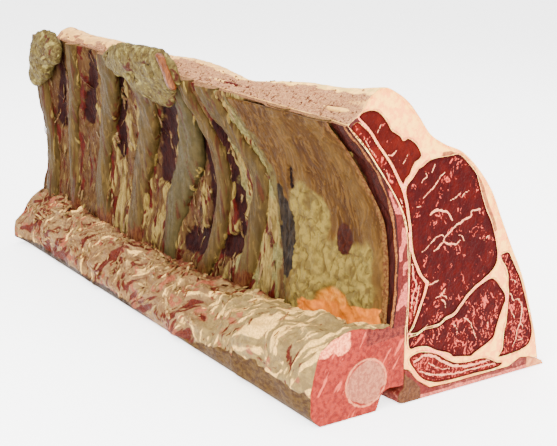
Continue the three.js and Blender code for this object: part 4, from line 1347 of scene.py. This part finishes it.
def muscle_masks(name):
    ring = rim_of(name)

    def masks(p, n):
        flat = p[:, 1:]
        near = smooth(END - 3, END - 1, p[:, 0])
        wander = np.stack([noise(p, 4.0, 111, 2), noise(p, 4.0, 112, 2)], axis=1) * 0.9
        vein = np.zeros(len(p))
        for width, line in VEINS.get(name, ()):
            apart, where = distance_to(flat + wander, curve(line, 24))
            taper = width * (0.62 + 0.38 * np.sin(math.pi * np.clip(where * 0.86 + 0.1, 0, 1)))
            broken = 0.75 + 0.4 * noise(p, 2.6, 113, 2)
            vein = np.maximum(vein, smooth(1.1, 0.3, apart / (0.8 * taper * broken)))
        edge = distance_to(flat, ring, closed=True)[0]
        rich = MARBLED[name] + 0.5 * smooth(104, 84, p[:, 1]) * smooth(66, 50, p[:, 2])
        strands = ridges(swirl(p, 13, 116, 0.5), (60, 2.8, 7), 114, 2)
        here = smooth(0.35, -0.25, noise(p, (60, 9, 9), 118, 2) + 0.6 - 1.2 * rich)
        fleck = smooth(0.86, 0.96, strands) * here
        dots = smooth(0.46, 0.62, noise(p, (50, 1.5, 2.2), 117, 2))
        fleck = np.maximum(fleck, 0.9 * dots * (0.6 + 0.4 * here)) * smooth(0.3, 2, edge)
        rim = 1 - smooth(0.1, 2.0, edge + 0.7 * noise(p, 3.5, 119, 2))
        return {"vein": vein * near, "edge": rim, "fleck": fleck,
                "bleed": smooth(-0.1, 0.6, noise(p, (60, 16, 22), 115, 2))}
    return masks


def muscle_relief(p, n, masks):
    face = smooth(0.6, 0.9, np.abs(n[:, 0]))
    grain = 0.22 * noise(p, (30, 1.5, 2.4), 121, 2) + 0.28 * noise(p, (30, 7, 9), 122, 2)
    rolled = -0.75 * masks["edge"] ** 1.6
    vein = 0.16 * masks["vein"]
    return face * (grain + rolled + vein - CUT_SINK - 0.3)


def muscle_finish(name):
    finish = Finish(name.replace("_", " "))
    light, deep = (base(*tone) for tone in LEAN_TONES[name])
    finish.ground(light, deep, 8, stretch=(1, 1, 1.6), rough=(0.34, 0.5), warp=0.6)
    grain = finish.cells(1.5, stretch=(1, 1, 1.5))
    finish.layer("bleed", deep, size=6, edge=(0.5, 0.9), broken=0.6, strength=0.6)
    finish.layer("edge", deep, size=3, edge=(0.5, 0.95), broken=0.5, strength=0.4)
    finish.layer("fleck", base(250, 190, 176), base(240, 150, 136), size=1.6, edge=(0.35, 0.75), broken=0.5,
                 strength=0.8)
    finish.layer("vein", base(254, 226, 210), base(250, 200, 184), size=1.4, edge=(0.4, 0.65), broken=0.5,
                 rough=0.4)
    finish.bumps((grain, 0.25), (finish.noise(1.1, detail=4), 0.3))
    return finish.finish(specular=0.025, dim=0.6)


class LOIN_OT_muscles(bpy.types.Operator):
    """Makes the muscles with their marbling"""
    bl_idname = "loin.muscles"
    bl_label = "Muscles"

    def execute(self, context):
        for name in MUSCLES:
            piece(f"{name}_lean", muscle_skin(name, 0.62 * settings().grain), muscle_finish(name),
                  muscle_masks(name), muscle_relief, [name])
        return {"FINISHED"}


# The fat cover round the muscles

BACK_CONTOUR = [(31, 199), (37, 207), (47, BLOCK_TOP), (58, 207.5), (67, 201), (75, 192), (85, 179.5),
                (97, 172), (112, 165.5), (126, 153.5), (140, 136), (150, 116), (161, 94), (172.5, 72),
                (181.5, 48), (189, 25)]
CONTOUR_POINTS = 190
FAT_STATIONS = 190
FRONT_POINTS = 90
# The white seam beside the rib wall on the fresh cut, as (height, across); left of it all is lean
WHITE_SEAM = [(48.2, 72.4), (52.2, 75.6), (59.2, 78.7), (65, 81.1), (71.8, 84), (77.4, 85.4), (82, 86.4),
              (84, 83.6), (87.5, 80.4), (92.5, 77.6), (98.5, 74.8), (102.7, 73.1), (109, 71.7), (115, 71.2),
              (122.2, 70.4), (129.5, 69), (135.6, 67.5), (141, 65.8), (145.2, 64.5), (150.6, 61.8),
              (158, 57.6), (163.3, 54.5), (170.8, 48.7), (177.9, 43), (184.6, 38.2), (190, 33.4), (195, 28.5)]
EYE_RIM = [(98, 165), (113, 161.5), (122, 153), (131, 139), (139, 124), (145, 109)]


def block_section(x):
    """The block's outline across: up the rib wall, over the back fat and along the base."""
    plate = feather_top(x)[:-1] + (0, GAP)
    low = FEATHER_TOP[0][1] + GAP
    heights = np.linspace(low, float(wall_top(x)), FRONT_POINTS)
    front = np.stack([wall_back(np.full(FRONT_POINTS, x), heights) + GAP, heights], axis=1)
    wave = 1.6 * math.sin(x * 0.043 + 0.8) * float(smooth(END, END - 40, x))
    y, z = np.array(BACK_CONTOUR, float).T
    here = np.full(len(y), float(x))
    back = np.stack([carried(here, y, z), carried_height(here, y, z) + wave * smooth(100, 212, z)], axis=1)
    over = curve(np.concatenate([front[-1:], back]), CONTOUR_POINTS)[1:]
    under = resampled(np.concatenate([over[-1:], plate, front[:1]]), 90, closed=False)[1:-1]
    return np.concatenate([front, over, under])


def fat_skin():
    skin = Skin()
    stations = np.linspace(-END, END, FAT_STATIONS)
    sections = np.stack([np.insert(block_section(x), 0, x, axis=1) for x in stations], axis=0)
    ids = skin.add(sections)
    skin.sheet(ids, around=True)
    rings = {name: rim_of(name, 0.05) for name in MUSCLES}
    tunnels = {}
    for name, ring in rings.items():
        rows = skin.add(np.stack([at_station(x, ring) for x in MUSCLE_STATIONS], axis=0))
        skin.sheet(rows, around=True)
        tunnels[name] = rows
    for end, x, spacing in ((0, -END, 2.0), (-1, END, 0.8)):
        outer = sections[end][:, 1:]
        holes = [at_station(x, ring)[:, 1:] for ring in rings.values()]
        inner = scattered([outer] + holes, spacing, 70)
        rims = [(ids[end], outer)]
        rims += [(tunnels[name][end], hole) for name, hole in zip(rings, holes)]
        skin.fill(rims, inner, lambda p, x=x: np.insert(p, 0, x, axis=1))
    return skin


def fat_masks(p, n):
    x, y, z = p.T
    flat = p[:, 1:]
    cut = smooth(END - 1.5, END - 0.3, np.abs(x)) * smooth(0.6, 0.9, np.abs(n[:, 0]))
    near_cut = np.abs(x) > END - 1
    seam, second = np.full(len(p), 99.0), np.full(len(p), 99.0)
    apart = np.sort([distance_to(flat[near_cut], rim_of(name), closed=True)[0] for name in MUSCLES], axis=0)
    seam[near_cut], second[near_cut] = apart[:2]
    outer = np.full(len(p), 99.0)
    outer[near_cut] = distance_to(flat[near_cut], np.array(BACK_CONTOUR, float))[0]
    line = along(WHITE_SEAM, z, 1)
    lean = cut * smooth(-0.7, -1.6, y - line) * smooth(36, 44, z)
    joined = smooth(107, 103, y) * smooth(56, 54, z) * smooth(43, 45, z) * smooth(71, 73, y)
    lean = np.maximum(lean, cut * joined * smooth(0.3, -0.1, noise(p, 5, 143, 2)))
    white = cut * bump_at(y, line, 1.3) * smooth(46, 50, z)
    wander = 1.2 * noise(p, 6, 138, 2)
    saw_line = 40 + 6 * noise(p, (16, 9, 9), 139, 2)
    top = smooth(0.35, 0.75, n[:, 2]) * smooth(180, 192, z) * (1 - cut)
    behind = y - wall_back(x, 190)
    saw = top * smooth(saw_line + 2, saw_line - 2, behind + 22)
    hump = top * smooth(40, 110, x) * (1 - saw)
    torn = smooth(0.1, 0.5, noise(p, (14, 9, 9), 131, 3))
    red = torn * np.maximum(smooth(0.4, 0.9, n[:, 2]) * smooth(185, 195, z) * (1 - hump),
                            0.45 * smooth(0.25, 0.6, noise(p, (50, 20, 20), 141, 2))) * (1 - cut)
    brown = cut * (1 - smooth(1.2, 4.2, distance_to(flat, EYE_RIM)[0] + wander)) * smooth(4.5, 2.5, seam)
    thin = cut * (1 - smooth(0.6, 2.6, seam + wander))
    narrow = cut * smooth(4.5, 3.0, seam + second)
    return {"cut": cut, "edge": cut * (1 - smooth(0.5, 4.0, outer + wander)), "seam": thin * (1 - lean),
            "lean": lean, "white": np.maximum(white, narrow) * (1 - lean), "saw": saw, "hump": hump,
            "side": smooth(150, 205, z) * (1 - cut),
            "red": red, "brown": brown}


def fat_relief(p, n, masks):
    x, y, z = p.T
    cut = masks["cut"]
    skin = 0.9 * noise(p, (26, 18, 18), 132, 2) + 0.3 * noise(p, 5, 133, 2) - 0.7 * masks["red"]
    saw = 1.0 * noise(p, 2.6, 134, 2) + 1.4 * noise(p, 7, 135, 3) - 0.6
    face = -(CUT_SINK + 0.25) + 0.2 * noise(p, 6, 136, 2) + 0.12 * noise(p, 1.4, 137, 2)
    rolled = -0.9 * masks["edge"] ** 2
    base_clear = smooth(26, 30, z) + smooth(150, 170, y) * smooth(11, 16, z)
    front_clear = smooth(-0.2, -0.7, n[:, 1]) * smooth(188, 184, z)
    upward = smooth(0.5, 0.9, n[:, 2])
    broken = np.clip(masks["saw"] + 0.5 * masks["side"] * upward * (1 - masks["hump"]), 0, 1)
    body = (skin * (1 - broken) + saw * broken) * np.clip(base_clear, 0, 1) * (1 - front_clear)
    seam = -0.4 * masks["seam"] ** 2 + 0.25 * masks["white"] - 0.25 * masks["lean"]
    return cut * (face + rolled + seam) + (1 - cut) * settings().crags * body * smooth(0, 8, END - np.abs(x))


def fat_finish():
    finish = Finish("back fat")
    finish.ground(base(248, 226, 194), base(242, 212, 174), 22, base(250, 236, 210), rough=(0.4, 0.55),
                  warp=0.5)
    finish.layer("side", base(236, 216, 168), base(228, 204, 154), size=12, edge=(0.4, 0.8), broken=0.6)
    finish.layer("hump", base(230, 214, 162), base(240, 224, 180), size=8, edge=(0.4, 0.8), broken=0.5)
    finish.layer("red", base(198, 128, 100), base(168, 84, 64), size=4, edge=(0.45, 0.7), broken=0.7,
                 strength=0.85)
    finish.layer("saw", base(190, 138, 108), base(216, 188, 152), size=1.8, edge=(0.4, 0.62), broken=0.7,
                 rough=0.75)
    finish.layer("cut", base(248, 224, 178), base(242, 206, 160), size=7, edge=(0.3, 0.6), broken=0.2,
                 rough=0.45)
    finish.layer("seam", base(238, 184, 160), base(222, 146, 124), size=2.4, edge=(0.55, 0.9), broken=0.7,
                 strength=0.65)
    finish.layer("brown", base(178, 94, 60), base(206, 146, 96), size=4, edge=(0.4, 0.8), broken=0.5,
                 strength=0.9)
    finish.layer("edge", base(250, 222, 178), base(240, 200, 146), size=6, edge=(0.4, 0.8), broken=0.4,
                 strength=0.7)
    finish.layer("lean", base(148, 40, 32), base(120, 24, 20), size=3, edge=(0.4, 0.6), broken=0.3)
    finish.layer("white", base(246, 206, 186), base(236, 176, 156), size=2, edge=(0.3, 0.6), broken=0.3)
    finish.bumps((finish.noise(3.2, detail=5), 0.35), (finish.noise(0.9, detail=3), 0.1))
    return finish.finish(glow=0.15, reach=(1.0, 0.6, 0.4), glow_mm=2.0, coat=0.02, coat_rough=0.3,
                         specular=0.12)


class LOIN_OT_fat_cover(bpy.types.Operator):
    """Makes the fat cover with its holes for the muscles"""
    bl_idname = "loin.fat_cover"
    bl_label = "Fat cover"

    def execute(self, context):
        piece("fat_cover_body", fat_skin(), fat_finish(), fat_masks, fat_relief, ["fat_cover"])
        return {"FINISHED"}


# The soft lumps over the sawn ends and the strip of sinew

LUMP_FAR = [(-254, 160), (-238, 156), (-219, 166), (-204, 178), (-184, 184), (-176, 196), (-186, 209),
            (-204, 212), (-226, 208), (-246, 184)]
LUMP_MID = [(-74, 199), (-62, 191), (-34, 186), (-28, 177), (-6, 175), (10, 170), (27, 172), (46, 185),
            (62, 199), (52, 213), (14, 217), (-30, 215), (-58, 210)]
LUMP_STAND = 4.5
LUMP_FRONT = 9.0
LUMP_BACK = 7.0


def lump_middle(x, z):
    return rib_side(x, z) - LUMP_STAND


def lump_masks(seed):
    def masks(p, n):
        torn = swirl(p, 14, seed + 5, 0.5)
        # painted shade: dark brown in the sunk pits of the crumbly lumps
        pits = smooth(0.3, 0.7, noise(torn, 11, seed, 3))
        red = smooth(0.15, 0.6, noise(torn, (20, 12, 9), seed + 1, 3))
        pale = smooth(0.0, 0.6, noise(torn, (14, 9, 9), seed + 4, 3))
        return {"pit": pits, "red": red * (1 - 0.5 * smooth(0.2, 0.8, n[:, 2])), "pale": pale}
    return masks


def lump_relief(seed):
    def relief(p, n, masks):
        crumb = 2.6 * noise(p, 15, seed + 2, 3) + 0.6 * noise(p, 4.0, seed + 3, 2) + 0.5 * masks["pale"]
        return settings().crags * (crumb - 2.6 * masks["pit"] - 0.2)
    return relief


def soft_fat_finish():
    finish = Finish("soft fat")
    finish.ground(base(182, 166, 112), base(150, 122, 76), 6, base(200, 188, 136), rough=(0.45, 0.65),
                  warp=0.8)
    finish.layer("red", base(140, 70, 50), base(160, 100, 70), size=4, edge=(0.45, 0.7), broken=0.8)
    # painted shade: dark brown in the sunk pits
    finish.layer("pit", base(104, 62, 40), base(76, 38, 26), size=3, edge=(0.42, 0.7), broken=0.5)
    finish.layer("pale", base(204, 194, 142), base(220, 212, 168), size=5, edge=(0.4, 0.8), broken=0.6,
                 strength=0.8)
    finish.bumps((finish.noise(2.0, detail=6), 0.8), (finish.noise(0.7, detail=3), 0.2))
    return finish.finish(glow=0.08, reach=(1.0, 0.6, 0.35), glow_mm=1.4, specular=0.04, dim=0.55)


class LOIN_OT_lumps(bpy.types.Operator):
    """Makes the crumbly lumps of soft fat that hang over the sawn rib ends"""
    bl_idname = "loin.lumps"
    bl_label = "Soft fat lumps"

    def execute(self, context):
        finish = soft_fat_finish()
        for index, (name, outline) in enumerate((("fat_lump_far", LUMP_FAR), ("fat_lump_mid", LUMP_MID))):
            skin = blob(curve(outline, 200, closed=True), lump_middle, LUMP_FRONT, LUMP_BACK, 34)
            seed = 140 + 10 * index
            piece(f"{name}_body", skin, finish, lump_masks(seed), lump_relief(seed), [name])
        return {"FINISHED"}


SINEW_TRACK = [(42, 215), (47, 208), (51, 199), (53, 188)]
SINEW_HALF = (5.0, 3.2)


def sinew_skin():
    track = curve(SINEW_TRACK, 40)
    turn = np.linspace(0, 2 * math.pi, 40, endpoint=False)
    rows = []
    for share, (x, z) in zip(np.linspace(0, 1, len(track)), track):
        round_end = max(0.12, min(1.0, math.sqrt(max(0.0, min(share, 1 - share) * 12))))
        y = float(lump_middle(x, z)) - LUMP_FRONT * 0.45
        rows.append(np.stack([x + SINEW_HALF[0] * round_end * np.cos(turn),
                              y + SINEW_HALF[1] * round_end * np.sin(turn), np.full(40, z)], axis=1))
    skin = Skin()
    ids = skin.add(np.stack(rows, axis=0))
    skin.sheet(ids, around=True)
    for row in (ids[0], ids[-1]):
        skin.faces.append(row.tolist())
    return skin


def sinew_finish():
    finish = Finish("sinew")
    finish.ground(base(176, 112, 60), base(150, 84, 44), 5, base(196, 140, 84), stretch=(0.6, 1, 3),
                  rough=(0.3, 0.45))
    finish.bumps((finish.noise(1.2, (0.6, 1, 5), detail=4), 0.4))
    return finish.finish(glow=0.1, glow_mm=1.2, coat=0.04, coat_rough=0.25, specular=0.1)


def sinew_relief(p, n, masks):
    return 0.4 * noise(p, (2.2, 4, 12), 161, 2)


class LOIN_OT_sinew(bpy.types.Operator):
    """Makes the orange-brown strip of sinew on the middle lump"""
    bl_idname = "loin.sinew"
    bl_label = "Sinew strip"

    def execute(self, context):
        piece("sinew_strip_body", sinew_skin(), sinew_finish(), None, sinew_relief, ["sinew_strip"])
        return {"FINISHED"}


# Torn shreds and saw crumbs, repeated by Geometry Nodes

def repeat_tree(name):
    """A node tree that repeats a shape on points, turned and sized by their attributes."""
    tree = bpy.data.node_groups.new(name, "GeometryNodeTree")
    sockets = tree.interface
    sockets.new_socket("Geometry", in_out="INPUT", socket_type="NodeSocketGeometry")
    sockets.new_socket("Geometry", in_out="OUTPUT", socket_type="NodeSocketGeometry")
    for label, kind in (("Shape", "NodeSocketObject"), ("Material", "NodeSocketMaterial"),
                        ("Share", "NodeSocketFloat"), ("Seed", "NodeSocketInt")):
        sockets.new_socket(label, in_out="INPUT", socket_type=kind)

    def node(kind, links=(), **values):
        made = tree.nodes.new(kind)
        for key, value in values.items():
            setattr(made, key, value)
        for socket, source in dict(links).items():
            tree.links.new(source, made.inputs[socket])
        return made

    given = node("NodeGroupInput").outputs
    chance = node("FunctionNodeRandomValue", data_type="BOOLEAN")
    tree.links.new(given["Share"], chance.inputs["Probability"])
    tree.links.new(given["Seed"], chance.inputs["Seed"])
    points = node("GeometryNodeMeshToPoints", {"Mesh": given["Geometry"]})
    tree.links.new(chance.outputs[3], points.inputs["Selection"])
    shape = node("GeometryNodeObjectInfo", {"Object": given["Shape"]})
    turn = node("GeometryNodeInputNamedAttribute", data_type="FLOAT_VECTOR")
    turn.inputs["Name"].default_value = "turn"
    size = node("GeometryNodeInputNamedAttribute", data_type="FLOAT_VECTOR")
    size.inputs["Name"].default_value = "size"
    repeated = node("GeometryNodeInstanceOnPoints", {
        "Points": points.outputs[0], "Instance": shape.outputs["Geometry"],
        "Rotation": turn.outputs["Attribute"], "Scale": size.outputs["Attribute"]})
    real = node("GeometryNodeRealizeInstances", {"Geometry": repeated.outputs[0]})
    painted = node("GeometryNodeSetMaterial", {"Geometry": real.outputs[0], "Material": given["Material"]})
    node("NodeGroupOutput", {"Geometry": painted.outputs[0]})
    return tree


def repeated(name, spots, turns, sizes, shape, material, slot, warp=0.0):
    """One plain mesh of a shape repeated at spots in mm, then bent a little by noise."""
    points = bpy.data.meshes.new(name + "_points")
    points.from_pydata((spots * MILLI).tolist(), [], [])
    for label, values in (("turn", turns), ("size", sizes)):
        layer = points.attributes.new(label, "FLOAT_VECTOR", "POINT")
        layer.data.foreach_set("vector", values.astype(np.float32).ravel())
    holder = bpy.data.objects.new(name + "_points", points)
    model = bpy.data.objects.new(name + "_shape", shape)
    for item in (holder, model):
        bpy.context.scene.collection.objects.link(item)
    tree = repeat_tree(name)
    modifier = holder.modifiers.new(name, "NODES")
    modifier.node_group = tree
    given = {"Shape": model, "Material": material, "Share": 0.97, "Seed": settings().seed}
    for item in tree.interface.items_tree:
        if item.in_out == "INPUT" and item.name in given:
            modifier[item.identifier] = given[item.name]
    bpy.context.view_layer.update()
    view = bpy.context.evaluated_depsgraph_get()
    mesh = bpy.data.meshes.new_from_object(holder.evaluated_get(view))
    holder.modifiers.clear()
    for item in (holder, model):
        bpy.data.objects.remove(item)
    place = read(mesh, mesh.vertices, "co", 3) / MILLI + (0, MID_ACROSS, 0)
    if warp:
        place += warp * np.stack([noise(place, 6.0, 400 + k, 2) for k in range(3)], axis=1)
    place = np.clip(place, LOW + INSET, HIGH - INSET) - (0, MID_ACROSS, 0)
    mesh.vertices.foreach_set("co", (place * MILLI).astype(np.float32).ravel())
    mesh.polygons.foreach_set("use_smooth", np.ones(len(mesh.polygons), bool))
    mesh.update()
    mesh.name = name
    return settle(name, mesh, material)


def strand_shape():
    """A flat tapering strand one mm long along x, wide along y and arched along z."""
    turn = np.linspace(0, 2 * math.pi, 6, endpoint=False)
    rows = []
    for u in np.linspace(0, 1, 9):
        width = 0.5 * math.sin(math.pi * min(0.96, 0.04 + u)) ** 0.6
        ring = np.stack([np.full(6, u - 0.5), width * np.cos(turn), 0.5 * width * np.sin(turn)], axis=1)
        rows.append(ring + (0, 0, math.sin(math.pi * u) - 0.5))
    skin = Skin()
    ids = skin.add(np.stack(rows, axis=0))
    skin.sheet(ids, around=True)
    skin.faces += [ids[0].tolist(), ids[-1][::-1].tolist()]
    mesh = bpy.data.meshes.new("strand")
    mesh.from_pydata((np.concatenate(skin.points) * MILLI).tolist(), [], skin.faces)
    return mesh


def crumb_shape():
    mesh = bpy.data.meshes.new("crumb")
    shell = bmesh.new()
    bmesh.ops.create_icosphere(shell, subdivisions=2, radius=0.5 * MILLI)
    shell.to_mesh(mesh)
    shell.free()
    for vertex in mesh.vertices:
        vertex.co *= 1 + 0.3 * math.sin(9000 * vertex.co.x + 2) * math.cos(7000 * vertex.co.y)
    return mesh


def picked(piece_name, weigh, count, seed):
    """Random spots of a finished piece, with their normals, more where the weight is high."""
    mesh = bpy.data.objects[piece_name].data
    place = read(mesh, mesh.vertices, "co", 3) / MILLI
    normals = read(mesh, mesh.vertices, "normal", 3)
    weight = np.clip(weigh(place + (0, MID_ACROSS, 0), normals), 0, None)
    chosen = np.random.default_rng(seed).choice(len(place), count, replace=False, p=weight / weight.sum())
    return place[chosen], normals[chosen]


def turned(normals, ways, rng, tilt=0.3):
    """Euler turns that lay x along a way over the surface and z along its normal."""
    out = np.empty((len(normals), 3))
    for i, (normal, way) in enumerate(zip(normals, ways)):
        up = Vector(normal + rng.normal(size=3) * tilt).normalized()
        ahead = Vector(way)
        ahead = (ahead - ahead.dot(up) * up).normalized()
        side = up.cross(ahead)
        out[i] = Matrix((ahead, side, up)).transposed().to_euler()
    return out


def chine_ways(spots):
    angle = math.radians(125) + 1.1 * noise(spots, 45, 410, 2)
    return np.stack([np.cos(angle), np.sin(angle), 0.2 * noise(spots, 20, 411, 1)], axis=1)


def rib_ways(spots):
    lean_over = 0.35 * noise(spots, 25, 412, 2)
    return np.stack([lean_over, np.zeros(len(spots)), np.ones(len(spots))], axis=1)


def shred_finish(name, first, second, third):
    finish = Finish(name)
    finish.ground(base(*first), base(*second), 9, base(*third), rough=(0.45, 0.6))
    finish.bumps((finish.noise(1.2, detail=3), 0.15))
    return finish.finish(glow=0.08, glow_mm=1.0, specular=0.08)


def chine_weight(p, n):
    x, y, z = p.T
    share = y / wall_back(x, 55)
    clear = smooth(END - 3, END - 12, x) * smooth(-END, 6 - END, x) * smooth(10, 18, z)
    facing = smooth(-0.2, 0.3, n[:, 2] - 0.4 * n[:, 1])
    return clear * facing * (1 - smooth(0.9, 1.0, share)) * (1.1 - smooth(60, 200, x))


def rib_weight(p, n):
    x, z = p[:, 0], p[:, 2]
    edge = smooth(3, 8, off_rib(x, z)) * (1 - smooth(120, 150, x))
    return edge * smooth(-0.1, -0.5, n[:, 1]) * smooth(wall_top(x) - 4, wall_top(x) - 12, z)


def crumb_weight(p, n):
    x, y, z = p.T
    front = smooth(24, 4, y - wall_back(x, 190))
    return smooth(0.5, 0.8, n[:, 2]) * smooth(188, 194, z) * front * smooth(END - 2, END - 6, np.abs(x))


class LOIN_OT_shreds(bpy.types.Operator):
    """Scatters torn shreds over the chine and between the ribs and crumbs along the sawn top"""
    bl_idname = "loin.shreds"
    bl_label = "Shreds and crumbs"

    def execute(self, context):
        count, seed = settings().shreds, settings().seed
        rng = np.random.default_rng(seed)
        strand = strand_shape()
        kinds = (
            ("chine_shreds", "chine_body", chine_weight, chine_ways, count, (9, 20),
             shred_finish("chine shreds", (204, 184, 138), (168, 88, 64), (214, 196, 154))),
            ("rib_shreds", "rib_lean_body", rib_weight, rib_ways, count, (10, 24),
             shred_finish("rib shreds", (166, 138, 94), (126, 52, 38), (184, 164, 118))),
        )
        for name, source, weigh, ways, number, length, finish in kinds:
            spots, normals = picked(source, weigh, number, seed + len(name))
            long = rng.uniform(*length, number)
            sizes = np.stack([long, rng.uniform(1.4, 3.6, number), 0.045 * long], axis=1)
            repeated(name, spots, turned(normals, ways(spots), rng), sizes, strand, finish, "soft_fat", 1.4)
        spots, normals = picked("fat_cover_body", crumb_weight, settings().crumbs, seed)
        sizes = rng.uniform(0.8, 2.0, (len(spots), 1)) * rng.uniform(0.6, 1.2, (len(spots), 3))
        repeated("saw_crumbs", spots, rng.uniform(0, 6, (len(spots), 3)), sizes, crumb_shape(),
                 shred_finish("saw crumbs", (204, 172, 136), (150, 92, 66), (176, 132, 100)), "soft_fat", 0.5)
        return {"FINISHED"}


# The stage

def area_light(name, place, aim, size, power, colour=(1, 1, 1)):
    light = bpy.data.lights.new(name, "AREA")
    light.shape = "RECTANGLE"
    light.size, light.size_y = size
    light.energy = power
    light.color = colour
    lamp = bpy.data.objects.new(name, light)
    lamp.location = place
    lamp.rotation_euler = (Vector(aim) - Vector(place)).to_track_quat("-Z", "Y").to_euler()
    bpy.context.scene.collection.objects.link(lamp)


class LOIN_OT_stage(bpy.types.Operator):
    """Makes the pale floor, the camera at the photograph's viewpoint and the soft light"""
    bl_idname = "loin.stage"
    bl_label = "Stage"

    def execute(self, context):
        studio = context.scene.studio_settings
        camera = bpy.data.cameras.new("camera")
        camera.lens = studio.lens
        camera.sensor_width = 36.0
        holder = bpy.data.objects.new("camera", camera)
        holder.location = studio.place
        holder.rotation_euler = studio.turn
        context.scene.collection.objects.link(holder)
        context.scene.camera = holder
        floor = bpy.data.meshes.new("floor")
        reach = 6.0
        corners = [(-reach, -reach, 0), (reach, -reach, 0), (reach, reach, 0), (-reach, reach, 0)]
        floor.from_pydata(corners, [], [(0, 1, 2, 3)])
        ground = bpy.data.objects.new("floor", floor)
        ground.location.z = CAD_LOW.z - 0.0005
        context.scene.collection.objects.link(ground)
        pale = Finish("pale floor")
        pale.colour = pale.blend(pale.noise(400), (0.86, 0.86, 0.86, 1), (0.9, 0.9, 0.9, 1))
        pale.rough = pale.step(pale.noise(300), 0, 1, 0.7, 0.9)
        floor.materials.append(pale.finish(specular=0.1, shine=2.4))
        aim = (0.0, 0.0, 0.09)
        area_light("key", (0.75, -1.05, 1.25), aim, (1.1, 1.1), studio.key)
        area_light("fill", (1.5, 0.15, 0.7), aim, (1.0, 0.9), studio.fill)
        area_light("top", (-0.3, 0.4, 1.5), aim, (1.4, 1.4), studio.key * 0.5)
        world = bpy.data.worlds.new("sky")
        world.use_nodes = True
        backdrop = world.node_tree.nodes["Background"]
        backdrop.inputs["Color"].default_value = (1.0, 1.0, 1.0, 1.0)
        backdrop.inputs["Strength"].default_value = studio.sky
        context.scene.world = world
        return {"FINISHED"}


# The panel and the run

OPERATORS = (LOIN_OT_ribs, LOIN_OT_rib_lean, LOIN_OT_lining, LOIN_OT_chine, LOIN_OT_feather_bones,
             LOIN_OT_muscles, LOIN_OT_fat_cover, LOIN_OT_lumps, LOIN_OT_sinew, LOIN_OT_shreds,
             LOIN_OT_stage)


class LOIN_PT_panel(bpy.types.Panel):
    """Lists the settings and the pieces"""
    bl_idname = "LOIN_PT_panel"
    bl_label = "Striploin"
    bl_space_type = "VIEW_3D"
    bl_region_type = "UI"
    bl_category = "Striploin"

    def draw(self, context):
        for group in (context.scene.loin_settings, context.scene.studio_settings):
            for key in group.__annotations__:
                self.layout.prop(group, key)
        for operator in OPERATORS:
            self.layout.operator(operator.bl_idname)


CLASSES = (LoinSettings, StudioSettings) + OPERATORS + (LOIN_PT_panel,)


def register():
    for item in CLASSES:
        bpy.utils.register_class(item)
    bpy.types.Scene.loin_settings = PointerProperty(type=LoinSettings)
    bpy.types.Scene.studio_settings = PointerProperty(type=StudioSettings)


def unregister():
    del bpy.types.Scene.studio_settings
    del bpy.types.Scene.loin_settings
    for item in reversed(CLASSES):
        bpy.utils.unregister_class(item)


def main():
    register()
    for operator in OPERATORS:
        group, call = operator.bl_idname.split(".")
        getattr(getattr(bpy.ops, group), call)()


if __name__ == "__main__":
    main()
